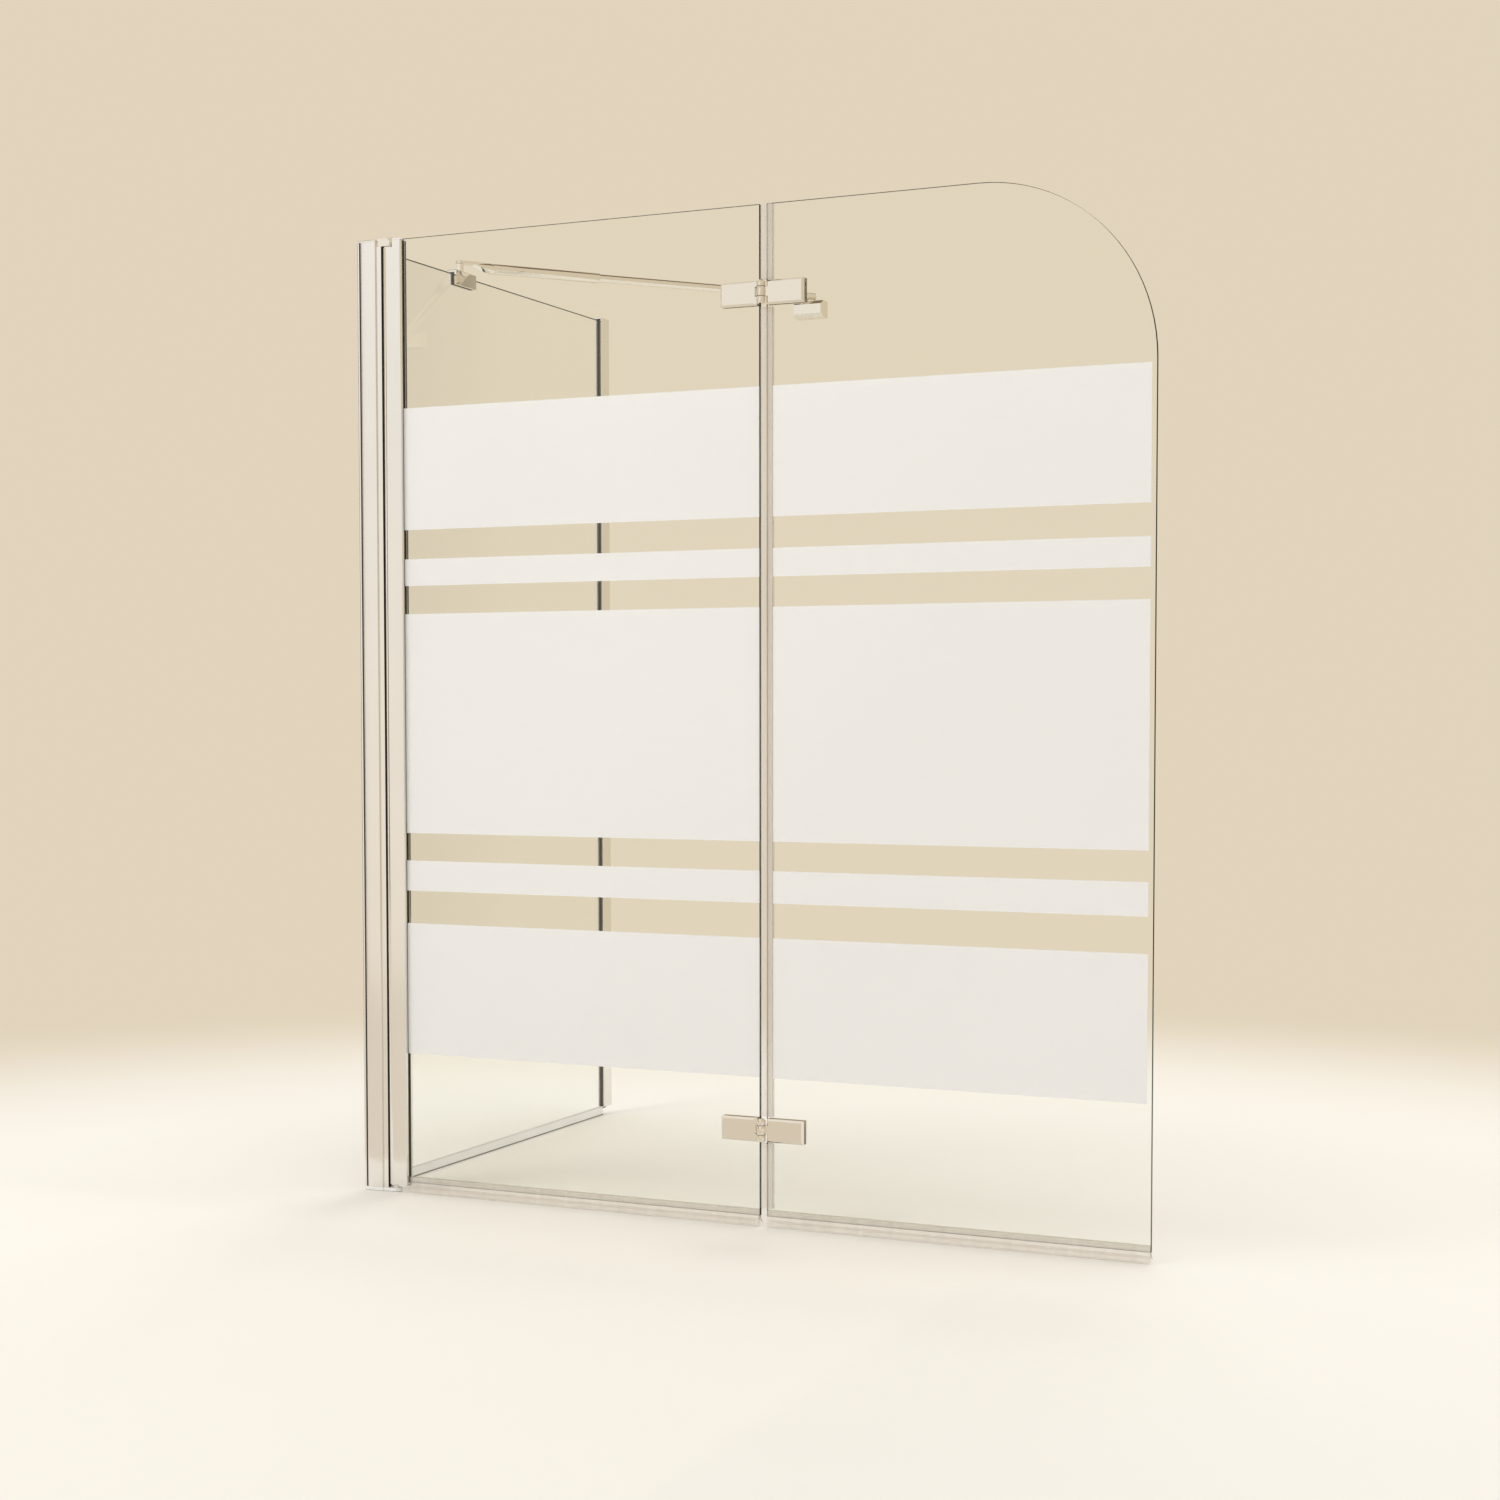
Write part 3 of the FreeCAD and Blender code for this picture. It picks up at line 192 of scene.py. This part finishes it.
BACKDROP = (226, 212, 188)
FLOOR = (240, 236, 228)
LAMPLIGHT = (255, 254, 252)
FROST = (248, 248, 249)
FROST_SHADOW = (200, 198, 194)
GLASS_FACE = (253, 254, 252)
GLASS_EDGE = (36, 42, 18)
GLASS_SHADOW = (252, 253, 251)
GROUND_GLASS = (50, 58, 32)
VINYL = (243, 239, 233)
VINYL_EDGE = (166, 158, 145)
VINYL_CLEAR = (249, 247, 245)
VINYL_SHADOW = (232, 230, 226)
# the colour of the painted highlight on the metals' rounded edges
EDGE_HIGHLIGHT = (252, 251, 249)
METALS = {   # colour, roughness, brushing across X, Y and Z, its depth
    "polished_aluminium": ((243, 240, 236), 0.12, (2600, 2600, 6), 0.00002),
    "chrome": ((238, 232, 222), 0.06, (60, 60, 60), 0.000004),
    "stainless_steel": ((205, 204, 203), 0.28, (900, 900, 900), 0.00002),
}
MOULDED = {   # colour, roughness, the scale of its grain, the grain's depth
    "dark_rubber": ((58, 52, 44), 0.6, 900, 0.00004),
    "grey_rubber": ((112, 110, 94), 0.55, 900, 0.00004),
    "white_plastic": ((246, 245, 241), 0.38, 500, 0.00002),
}


def paint(colour):
    """The linear colour, with full opacity, of red, green and blue from 0 to 255."""
    shares = [level / 255 for level in colour]
    linear = [s / 12.92 if s <= 0.04045 else ((s + 0.055) / 1.055) ** 2.4 for s in shares]
    return (*linear, 1.0)


def shaded(colour, share):
    return tuple(level * share for level in colour)


def paler(colour, share):
    return tuple(level + (255 - level) * share for level in colour)


# ---- parts of materials ------------------------------------------------------------------------

NOISE_RANGE = (0.3, 0.7)      # most of the noise lies in here
EDGE_COSINES = (0.99, 0.8)    # of the rounding's turn, where the painted edge highlight begins and where it is full
EDGE_SAMPLES = 6
BEVEL_FACING = 0.4            # how squarely bevels, vinyl walls and sheets look along an axis
WALL_FACING = 0.6
SHEET_FACING = 0.9


def add(tree, kind, inputs=None, **settings):
    """A shader node. An input takes a number, a colour or another node's output."""
    made = tree.nodes.new(f"ShaderNode{kind}")
    for name, value in settings.items():
        setattr(made, name, value)
    for name, value in (inputs or {}).items():
        if isinstance(value, bpy.types.NodeSocket):
            tree.links.new(value, made.inputs[name])
        else:
            made.inputs[name].default_value = value
    return made


def new_material(name):
    made = bpy.data.materials.new(name)
    made.use_nodes = True
    made.node_tree.nodes.clear()
    return made, made.node_tree


def finish_material(tree, shader):
    add(tree, "OutputMaterial", {"Surface": shader})


def principled(tree, inputs):
    return add(tree, "BsdfPrincipled", inputs).outputs["BSDF"]


def mix_shaders(tree, share, first, second):
    """Two shaders, with the second one's share."""
    return add(tree, "MixShader", {"Fac": share, 1: first, 2: second}).outputs["Shader"]


def noise(tree, scale, stretch=(1, 1, 1), detail=4):
    """Noise over the object's own coordinates, which move with it."""
    place = add(tree, "TexCoord").outputs["Object"]
    stretched = add(tree, "Mapping", {"Vector": place, "Scale": stretch}).outputs["Vector"]
    wanted = {"Vector": stretched, "Scale": scale, "Detail": detail}
    return add(tree, "TexNoise", wanted).outputs["Fac"]


def between(tree, amount, low, high):
    """A number that follows the noise from low to high."""
    wanted = {"Value": amount, "From Min": NOISE_RANGE[0], "From Max": NOISE_RANGE[1],
              "To Min": low, "To Max": high}
    return add(tree, "MapRange", wanted).outputs["Result"]


def tint(tree, amount, first, second):
    """A colour that goes with the amount from a first to a second. The first may be a node's
    output."""
    if not isinstance(first, bpy.types.NodeSocket):
        first = paint(first)
    wanted = {"Factor": amount, 6: first, 7: paint(second)}
    return add(tree, "Mix", wanted, data_type="RGBA").outputs[2]


def bumped(tree, height, depth, strength, normal=None):
    """A normal with bumps, over another one where there is one."""
    wanted = {"Height": height, "Distance": depth, "Strength": strength}
    if normal is not None:
        wanted["Normal"] = normal
    return add(tree, "Bump", wanted).outputs["Normal"]


def rounded_edges(tree, radius):
    """A normal that rounds the edges off, and a mask that is 1 where it does, which places the painted edge
    highlight.
    """
    rounded = add(tree, "Bevel", {"Radius": radius}, samples=EDGE_SAMPLES).outputs["Normal"]
    flat = add(tree, "NewGeometry").outputs["Normal"]
    along = add(tree, "VectorMath", {0: rounded, 1: flat}, operation="DOT_PRODUCT")
    wanted = {"Value": along.outputs["Value"], "From Min": EDGE_COSINES[0],
              "From Max": EDGE_COSINES[1]}
    return rounded, add(tree, "MapRange", wanted).outputs["Result"]


def looks_along(tree, axis, limit):
    """1 where a face looks more squarely than the limit along the object's own axis, or 0."""
    own_normal = add(tree, "TexCoord").outputs["Normal"]
    parts = add(tree, "SeparateXYZ", {"Vector": own_normal})
    facing = add(tree, "Math", {0: parts.outputs[axis]}, operation="ABSOLUTE").outputs[0]
    return add(tree, "Math", {0: facing, 1: limit}, operation="GREATER_THAN").outputs[0]


def see_light_through(tree, shader, colour):
    """Let lamps shine through a clear shader, so that its shadow is only a tint."""
    clear = add(tree, "BsdfTransparent", {"Color": paint(colour)}).outputs["BSDF"]
    shadow = add(tree, "LightPath").outputs["Is Shadow Ray"]
    return mix_shaders(tree, shadow, shader, clear)


# ---- materials ---------------------------------------------------------------------------------

def metal(name, colour, roughness, brush, brush_depth):
    """A metal whose rounded edges are painted brighter, a painted highlight. Its fine brushing runs along the axis
    of the smallest number in brush, and looks even where the three are equal."""
    made, tree = new_material(name)
    fine = noise(tree, scale=1, stretch=brush)
    clouds = noise(tree, scale=6, detail=3)
    rounded, edge = rounded_edges(tree, METAL_EDGE)
    body = tint(tree, clouds, shaded(colour, share=0.96), colour)
    finish_material(tree, principled(tree, {
        # the rounded edges are painted towards a near white, a painted highlight
        "Base Color": tint(tree, edge, body, EDGE_HIGHLIGHT),
        "Metallic": 1.0,
        "Roughness": between(tree, fine, low=roughness * 0.8, high=roughness * 1.25),
        "Normal": bumped(tree, fine, brush_depth, strength=0.25, normal=rounded),
    }))
    return made


def moulded(name, colour, roughness, grain_scale, grain_depth):
    """A rubber or plastic with a fine moulded grain, slight changes of tone, and edges painted paler, a painted
    highlight.
    """
    made, tree = new_material(name)
    grain = noise(tree, grain_scale, detail=5)
    clouds = noise(tree, scale=14, detail=2)
    rounded, edge = rounded_edges(tree, SOFT_EDGE)
    body = tint(tree, clouds, shaded(colour, share=0.93), colour)
    finish_material(tree, principled(tree, {
        # the rounded edges are painted paler, a painted highlight
        "Base Color": tint(tree, edge, body, paler(colour, share=0.18)),
        "Roughness": between(tree, grain, low=roughness * 0.85, high=roughness * 1.15),
        "Normal": bumped(tree, grain, grain_depth, strength=0.3, normal=rounded),
    }))
    return made


def dull_glass(tree, grinding, colour, share, low, high):
    """A ground edge of the glass. Its roughness lies between low and high."""
    return principled(tree, {
        "Base Color": tint(tree, grinding, shaded(colour, share), colour),
        "Roughness": between(tree, grinding, low, high),
        "Specular IOR Level": 0.08,
    })


def sheet_glass(name, across):
    """Clear glass of a sheet whose two faces look along its own X or Y. Its edges look dark
    green, and the ground bevel along them is a little lighter."""
    made, tree = new_material(name)
    film = noise(tree, scale=3, detail=3)
    face = principled(tree, {
        "Base Color": tint(tree, film, shaded(GLASS_FACE, share=0.995), GLASS_FACE),
        "Roughness": between(tree, film, low=0.0, high=0.012),
        "Transmission Weight": 1.0,
        "IOR": 1.5,
    })
    grinding = noise(tree, scale=1, stretch=(900, 900, 900))
    edge = dull_glass(tree, grinding, GLASS_EDGE, share=0.8, low=0.15, high=0.3)
    bevel = dull_glass(tree, grinding, GROUND_GLASS, share=0.9, low=0.35, high=0.5)
    rim = mix_shaders(tree, looks_along(tree, across, BEVEL_FACING), edge, bevel)
    whole = mix_shaders(tree, looks_along(tree, across, SHEET_FACING), rim, face)
    finish_material(tree, see_light_through(tree, whole, GLASS_SHADOW))
    return made


def frost():
    """The etched bands. Their fine matt grain scatters the light that comes through."""
    made, tree = new_material("frosted_band")
    grain = noise(tree, scale=1400, detail=3)
    clouds = noise(tree, scale=1.6, detail=1)
    surface = principled(tree, {
        "Base Color": tint(tree, clouds, shaded(FROST, share=0.975), FROST),
        "Roughness": between(tree, grain, low=0.5, high=0.65),
        "Specular IOR Level": 0.3,
        "Normal": bumped(tree, grain, depth=0.00005, strength=0.15),
    })
    through = add(tree, "BsdfTranslucent", {"Color": paint(FROST)}).outputs["BSDF"]
    whole = mix_shaders(tree, 0.45, surface, through)
    finish_material(tree, see_light_through(tree, whole, FROST_SHADOW))
    return made


def vinyl():
    """Clear soft strip, a little milky, whose narrow faces look grey. Light that is inside it
    leaves freely, so that the milkiness counts once for each strip."""
    made, tree = new_material("clear_vinyl")
    streaks = noise(tree, scale=1, stretch=(40, 40, 4), detail=3)
    rounded, _ = rounded_edges(tree, SOFT_EDGE)
    milky = principled(tree, {
        "Base Color": tint(tree, streaks, shaded(VINYL, share=0.94), VINYL),
        "Roughness": between(tree, streaks, low=0.18, high=0.3),
        "Normal": rounded,
    })
    clear = add(tree, "BsdfTransparent", {"Color": paint(VINYL_CLEAR)}).outputs["BSDF"]
    wall = mix_shaders(tree, between(tree, streaks, low=0.32, high=0.38), clear, milky)
    dull = principled(tree, {
        "Base Color": tint(tree, streaks, shaded(VINYL_EDGE, share=0.9), VINYL_EDGE),
        "Roughness": between(tree, streaks, low=0.25, high=0.4),
        "Normal": rounded,
    })
    edge = mix_shaders(tree, 0.7, clear, dull)
    outer = mix_shaders(tree, looks_along(tree, "Y", WALL_FACING), edge, wall)
    inside = add(tree, "NewGeometry").outputs["Backfacing"]
    whole = mix_shaders(tree, inside, outer, clear)
    finish_material(tree, see_light_through(tree, whole, VINYL_SHADOW))
    return made


def make_materials():
    """The material of each slot in the record."""
    made = {name: metal(name, *row) for name, row in METALS.items()}
    made |= {name: moulded(name, *row) for name, row in MOULDED.items()}
    made["clear_vinyl"] = vinyl()
    made["clear_glass"] = sheet_glass("front_glass", "Y")
    return made


def dress_nodes(materials):
    """Give every node its slot's material. The side glass looks along X, the leaves along Y."""
    for row in frame["record"]["subparts"]:
        node = NODES[row["node"]]
        node.data.materials.clear()
        node.data.materials.append(materials[row["material_slot"]])
    NODES["side_glass"].data.materials[0] = sheet_glass("side_panel_glass", "X")


def round_node(name, width):
    """Join a solid's triangles into whole faces, and round its sharp edges off."""
    node = NODES[name]
    weld = node.modifiers.new("weld", "WELD")
    weld.merge_threshold = SAME_POINT
    joined = node.modifiers.new("joined", "DECIMATE")
    joined.decimate_type = "DISSOLVE"
    joined.angle_limit = math.radians(SAME_PLANE)
    rounding = node.modifiers.new("rounding", "BEVEL")
    rounding.width = width
    rounding.segments = 1 if width == GLASS_BEVEL else 2
    rounding.limit_method = "ANGLE"
    rounding.angle_limit = math.radians(SHARP_TURN)
    rounding.harden_normals = width != GLASS_BEVEL


def round_nodes():
    for width, names in ROUNDED.items():
        for name in names:
            round_node(name, width)


# ---- pieces drawn here -------------------------------------------------------------------------

def link_mesh(name, mesh, material):
    """Put a bmesh in the scene as an object, and free it."""
    data = bpy.data.meshes.new(name)
    mesh.to_mesh(data)
    mesh.free()
    data.materials.append(material)
    made = bpy.data.objects.new(name, data)
    bpy.context.scene.collection.objects.link(made)
    return made


def new_piece(name, mesh, material, body):
    """Link a bmesh as a piece that rides on a body of the solids."""
    piece = link_mesh(name, mesh, material)
    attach(piece, body)
    return piece


def add_slab(mesh, low, high):
    """A closed slab between two corners."""
    made = bmesh.ops.create_cube(mesh, size=1)["verts"]
    middle = (Vector(low) + Vector(high)) / 2
    reach = Vector(high) - Vector(low)
    for vertex in made:
        vertex.co = middle + Vector(a * b for a, b in zip(vertex.co, reach))


def add_prism(mesh, near, far):
    """A closed solid between two ends that have the same outline."""
    starts = [mesh.verts.new(point) for point in near]
    ends = [mesh.verts.new(point) for point in far]
    for number, start in enumerate(starts):
        after = (number + 1) % len(starts)
        mesh.faces.new((start, starts[after], ends[after], ends[number]))
    mesh.faces.new(starts)
    mesh.faces.new(ends)
    bmesh.ops.recalc_face_normals(mesh, faces=mesh.faces)


def lathe(mesh, profile, matrix):
    """A closed ring of the profile's (radius, height) points about the matrix's own Z."""
    rings = []
    for step in range(RING_STEPS):
        turn = math.tau * step / RING_STEPS
        rings.append([mesh.verts.new(matrix @ Vector((r * math.cos(turn), r * math.sin(turn), z)))
                      for r, z in profile])
    for number, ring in enumerate(rings):
        beside = rings[(number + 1) % RING_STEPS]
        for place in range(len(profile)):
            after = (place + 1) % len(profile)
            mesh.faces.new((ring[place], beside[place], beside[after], ring[after]))


def arc(middle, radius, start, end, count):
    """Points round a part of a circle, by angles in degrees."""
    turns = [math.radians(start + (end - start) * step / count) for step in range(count + 1)]
    return [(middle[0] + radius * math.cos(turn), middle[1] + radius * math.sin(turn))
            for turn in turns]


def frosted_bands(name, left, right, body, material):
    """The five etched bands on the front face of one leaf."""
    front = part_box("outer_glass")[0].y - FROST_GAP
    mesh = bmesh.new()
    for low, high in FROST_BANDS:
        add_slab(mesh, (left, front - FROST_THICKNESS, low), (right, front, high))
    new_piece(name, mesh, material, body)


def make_frosting():
    material = frost()
    profile_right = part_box("pivot_profile")[1].x
    seal_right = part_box("fold_seal")[1].x
    inner_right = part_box("inner_glass")[1].x
    outer_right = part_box("outer_glass")[1].x
    frosted_bands("inner_frosted_bands", profile_right, inner_right, "inner_leaf", material)
    frosted_bands("outer_frosted_bands", seal_right, outer_right - FROST_EDGE, "outer_leaf",
                  material)


def post_front(left, front, right):
    """The post's front from right to left: the flat face, the groove and the rounded strip."""
    strip_front = front + STRIP_STEP
    floor = front + GROOVE_DEPTH
    return [
        *arc((right - FACE_CORNER, front + FACE_CORNER), FACE_CORNER,
             start=0, end=-90, count=4),
        *arc((left + LIP_START, front + LIP_RADIUS), LIP_RADIUS,
             start=-90, end=-150, count=8),
        (left + GROOVE_RIGHT, floor), (left + GROOVE_LEFT, floor),
        *arc((left + GROOVE_LEFT - STRIP_CORNER, strip_front + STRIP_CORNER), STRIP_CORNER,
             start=0, end=-90, count=3),
        *arc((left + LEFT_CORNER, strip_front + LEFT_CORNER), LEFT_CORNER,
             start=-90, end=-180, count=8),
    ]


def post_outline(left, front, right, back):
    """The post's section: its front, the two jaws round the side glass, and the chamber, which
    is open to the right through the key's slot."""
    jaw_inside = JAW_HALF - POST_WALL
    chamber_left, chamber_right = left + POST_WALL, right - POST_WALL
    chamber_front, chamber_back = front + POST_WALL, SHOULDER - POST_WALL
    return [
        (right, -SLOT_HALF), *post_front(left, front, right),
        (left, SHOULDER), (-JAW_HALF, SHOULDER), (-JAW_HALF, back), (-jaw_inside, back),
        (-jaw_inside, SHOULDER), (jaw_inside, SHOULDER), (jaw_inside, back), (JAW_HALF, back),
        (JAW_HALF, SHOULDER), (right, SHOULDER), (right, SLOT_HALF),
        (chamber_right, SLOT_HALF), (chamber_right, chamber_back),
        (chamber_left, chamber_back), (chamber_left, chamber_front),
        (chamber_right, chamber_front), (chamber_right, -SLOT_HALF),
    ]


def make_post(materials):
    """The post's extrusion with its narrow front groove, and a dark strip in the groove that paints its shade."""
    low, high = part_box("corner_post")
    outline = post_outline(low.x, low.y, high.x, high.y)
    mesh = bmesh.new()
    add_prism(mesh, [(x, y, low.z) for x, y in outline], [(x, y, high.z) for x, y in outline])
    for face in mesh.faces:
        face.smooth = len(face.verts) == 4
    for edge in mesh.edges:
        edge.smooth = edge.calc_face_angle(0) < math.radians(SMOOTH_TURN)
    piece = new_piece("post_extrusion", mesh, materials["polished_aluminium"], "frame")
    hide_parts("corner_post")
    # a dark strip in the groove, painted shade
    strip = bmesh.new()
    add_slab(strip, (low.x + GROOVE_SHADE_LOW[0], low.y + GROOVE_SHADE_LOW[1], low.z),
             (low.x + GROOVE_SHADE_HIGH[0], low.y + GROOVE_SHADE_HIGH[1], high.z))
    new_piece("post_groove_shade_strip", strip, materials["dark_rubber"], "frame")


def make_knuckle_rings(materials):
    """Dark rings in the joints of the hinge barrels, on the inner leaf's knuckles, which paint the shade in the
    joints.
    """
    axis = next(joint["pos_m"] for joint in frame["joints"] if joint["name"] == "fold_hinge")
    inner, outer = KNUCKLE_RADIUS - RING_DEPTH, KNUCKLE_RADIUS - RING_INSET
    mesh = bmesh.new()
    for level in HINGE_LEVELS:
        place = Matrix.Translation((axis[0], axis[1], level))
        for end, side in KNUCKLE_ENDS:
            middle = end - side * JOINT_HALF
            low, high = middle - RING_HEIGHT / 2, middle + RING_HEIGHT / 2
            lathe(mesh, [(inner, low), (outer - RING_SOFT, low), (outer, low + RING_SOFT),
                         (outer, high - RING_SOFT), (outer - RING_SOFT, high), (inner, high)],
                  place)
    # the rings take the dark rubber colour as painted shade in the joints
    new_piece("knuckle_rings", mesh, materials["dark_rubber"], "inner_leaf")


def circle(count, radius):
    """Points round a circle, each as a vector from its middle."""
    turns = [math.tau * number / count for number in range(count)]
    return [Vector((math.cos(turn), math.sin(turn))) * radius for turn in turns]


def hexagon(radius):
    """As many points along a hexagon's sides as a screw's circle has."""
    corners = circle(6, radius)
    side_steps = SCREW_STEPS // 6
    points = []
    for step in range(SCREW_STEPS):
        corner, along = divmod(step, side_steps)
        points.append(corners[corner].lerp(corners[(corner + 1) % 6], along / side_steps))
    return points


def add_grub_screw(mesh, place, axis, radius):
    """The visible end of a headless screw: a bevelled rim round a hexagon socket."""
    turn = Vector((0, 0, 1)).rotation_difference(Vector(axis)).to_matrix().to_4x4()
    matrix = Matrix.Translation(place) @ turn
    body = circle(SCREW_STEPS, radius)
    socket = hexagon(radius * SOCKET_REACH)
    levels = ((body, SCREW_FOOT), (body, SCREW_SHOULDER),
              (circle(SCREW_STEPS, radius * SCREW_CHAMFER), SCREW_TOP),
              (socket, SCREW_TOP), (socket, SOCKET_FLOOR))
    loops = [[mesh.verts.new(matrix @ Vector((*point, height))) for point in points]
             for points, height in levels]
    for below, above in zip(loops, loops[1:]):
        for number in range(SCREW_STEPS):
            after = (number + 1) % SCREW_STEPS
            mesh.faces.new((below[number], below[after], above[after], above[number]))
    mesh.faces.new(reversed(loops[0]))
    mesh.faces.new(loops[-1])


def make_grub_screws(materials):
    """Small headless screws: two in the clamp, one in the tube and one in the wall bracket."""
    clamp_low, clamp_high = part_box("glass_clamp")
    tube_low, tube_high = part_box("bar_outer_tube")
    bracket_low, bracket_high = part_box("wall_bracket")
    down = (0, 0, -1)
    mesh = bmesh.new()
    for along in (clamp_low.y + CLAMP_SCREW_INSET, clamp_high.y - CLAMP_SCREW_INSET):
        add_grub_screw(mesh, (clamp_low.x, along, clamp_low.z + CLAMP_SCREW_LEVEL), (-1, 0, 0),
                       SCREW_RADIUS)
    bar = Vector((tube_high.x, tube_high.y, 0)) - Vector((tube_low.x, tube_low.y, 0))
    end = Vector((tube_high.x - TUBE_END_INSET[0], tube_high.y - TUBE_END_INSET[1], tube_low.z))
    add_grub_screw(mesh, end - bar.normalized() * TUBE_SCREW_BACK, down, TUBE_SCREW_RADIUS)
    middle = (bracket_low.x + bracket_high.x) / 2
    add_grub_screw(mesh, (middle, bracket_high.y - BRACKET_SCREW_BACK, bracket_low.z), down,
                   SCREW_RADIUS)
    new_piece("grub_screws", mesh, materials["stainless_steel"], "frame")


def make_rim_bead(materials):
    """A thin dark bead along the foot of the side panel's strip, bath side, which paints the contact shadow there.
    """
    low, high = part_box("side_rim_seal")
    rounding = arc((0, 0), BEAD_REACH, start=0, end=90, count=6)
    section = [(high.x - BEAD_ROOT, low.z), *((high.x + x, low.z + z) for x, z in rounding)]
    mesh = bmesh.new()
    add_prism(mesh, [(x, low.y, z) for x, z in section], [(x, high.y, z) for x, z in section])
    # the bead is painted shadow in the grey rubber colour
    new_piece("rim_shadow_bead", mesh, materials["grey_rubber"], "frame")


# ---- floor, lamps, cards, world and camera -----------------------------------------------------

def mirrored_rays(tree):
    """1 for what the camera sees by itself, in metal or through glass, and 0 for light."""
    rays = add(tree, "LightPath").outputs
    both = add(tree, "Math", {0: rays["Is Camera Ray"], 1: rays["Is Glossy Ray"]},
               operation="ADD").outputs[0]
    return add(tree, "Math", {0: both, 1: rays["Is Transmission Ray"]}, operation="ADD",
               use_clamp=True).outputs[0]


def floor_material():
    """Pale and matt, and with distance the backdrop's colour."""
    made, tree = new_material("floor")
    clouds = noise(tree, scale=0.8, detail=2)
    surface = principled(tree, {
        "Base Color": tint(tree, clouds, shaded(FLOOR, share=0.995), FLOOR),
        "Roughness": 0.8,
        "Specular IOR Level": 0.2,
    })
    place = add(tree, "TexCoord").outputs["Object"]
    reach = add(tree, "VectorMath", {0: place}, operation="LENGTH").outputs["Value"]
    wanted = {"Value": reach, "From Min": FLOOR_FADE[0], "From Max": FLOOR_FADE[1]}
    fading = add(tree, "MapRange", wanted, interpolation_type="SMOOTHSTEP").outputs["Result"]
    seen = add(tree, "Math", {0: fading, 1: mirrored_rays(tree)}, operation="MULTIPLY")
    far = add(tree, "Emission", {"Color": paint(BACKDROP)}).outputs["Emission"]
    finish_material(tree, mix_shaders(tree, seen.outputs[0], surface, far))
    return made


def make_floor():
    mesh = bmesh.new()
    bmesh.ops.create_circle(mesh, cap_ends=True, segments=FLOOR_STEPS, radius=FLOOR_RADIUS)
    floor = link_mesh("floor", mesh, floor_material())
    floor.location = (*FLOOR_MIDDLE, cad_box[0].z - FLOOR_DROP)


def make_lamp(name, place, size, glow):
    """A soft lamp that looks at the middle of the screen. Each part of it has the glow, so a
    larger lamp lights more. Metal and glass mirror the cards in its stead."""
    data = bpy.data.lights.new(name, "AREA")
    data.shape = "RECTANGLE"
    data.size, data.size_y = size
    data.energy = glow * math.pi * size[0] * size[1]
    data.color = paint(LAMPLIGHT)[:3]
    lamp = bpy.data.objects.new(name, data)
    lamp.location = place
    sight = Vector(LAMP_TARGET) - Vector(place)
    lamp.rotation_euler = sight.to_track_quat("-Z", "Y").to_euler()
    lamp.visible_glossy = False
    lamp.visible_transmission = False
    bpy.context.scene.collection.objects.link(lamp)


def make_card(name, material, place, size, rotation):
    """A studio card that only metal and glass mirror. It gives polished faces their light and
    dark lines."""
    mesh = bmesh.new()
    bmesh.ops.create_grid(mesh, x_segments=1, y_segments=1, size=0.5)
    bmesh.ops.scale(mesh, vec=(*size, 1), verts=mesh.verts)
    card = link_mesh(name, mesh, material)
    card.location = place
    card.rotation_euler = rotation
    for rays in ("camera", "diffuse", "transmission", "shadow"):
        setattr(card, f"visible_{rays}", False)


def make_upright_card(name, place, size, turn, fade, first, second):
    """A card whose glow fades from a first colour to a second along its width or height."""
    axis, start, end = fade
    material, tree = new_material(name)
    reach = add(tree, "SeparateXYZ", {"Vector": add(tree, "TexCoord").outputs["Generated"]})
    span = {"Value": reach.outputs[axis], "From Min": start, "From Max": end}
    share = add(tree, "MapRange", span).outputs["Result"]
    glow = add(tree, "Emission", {"Color": tint(tree, share, first, second)})
    finish_material(tree, glow.outputs["Emission"])
    make_card(name, material, place, size, (math.radians(90), 0, math.radians(turn)))


def make_level_card(name, place, size, colour):
    """A card that lies level and glows in one colour."""
    material, tree = new_material(name)
    glow = add(tree, "Emission", {"Color": paint(colour)})
    finish_material(tree, glow.outputs["Emission"])
    make_card(name, material, place, size, (0, 0, 0))


def make_world():
    """The backdrop's colour for what the camera, metal and glass see, and a soft fill light."""
    world = bpy.data.worlds.new("studio")
    bpy.context.scene.world = world
    world.use_nodes = True
    tree = world.node_tree
    tree.nodes.clear()
    shown = add(tree, "Background", {"Color": paint(BACKDROP), "Strength": 1.0})
    fill = add(tree, "Background", {"Color": paint(LAMPLIGHT), "Strength": FILL})
    mixed = mix_shaders(tree, mirrored_rays(tree), fill.outputs["Background"],
                        shown.outputs["Background"])
    add(tree, "OutputWorld", {"Surface": mixed})


def make_camera():
    data = bpy.data.cameras.new("camera")
    data.lens = CAMERA_LENS
    data.shift_x, data.shift_y = CAMERA_SHIFT
    camera = bpy.data.objects.new("camera", data)
    camera.location = CAMERA_PLACE
    camera.rotation_euler = [math.radians(turn) for turn in CAMERA_TURN]
    bpy.context.scene.collection.objects.link(camera)
    bpy.context.scene.camera = camera


materials = make_materials()
dress_nodes(materials)
round_nodes()
make_frosting()
make_post(materials)
make_knuckle_rings(materials)
make_grub_screws(materials)
make_rim_bead(materials)
make_floor()
for name, lamp in LAMPS.items():
    make_lamp(name, *lamp)
for name, card in UPRIGHT_CARDS.items():
    make_upright_card(name, *card)
for name, card in LEVEL_CARDS.items():
    make_level_card(name, *card)
make_world()
make_camera()
bpy.context.scene.view_settings.view_transform = "Standard"
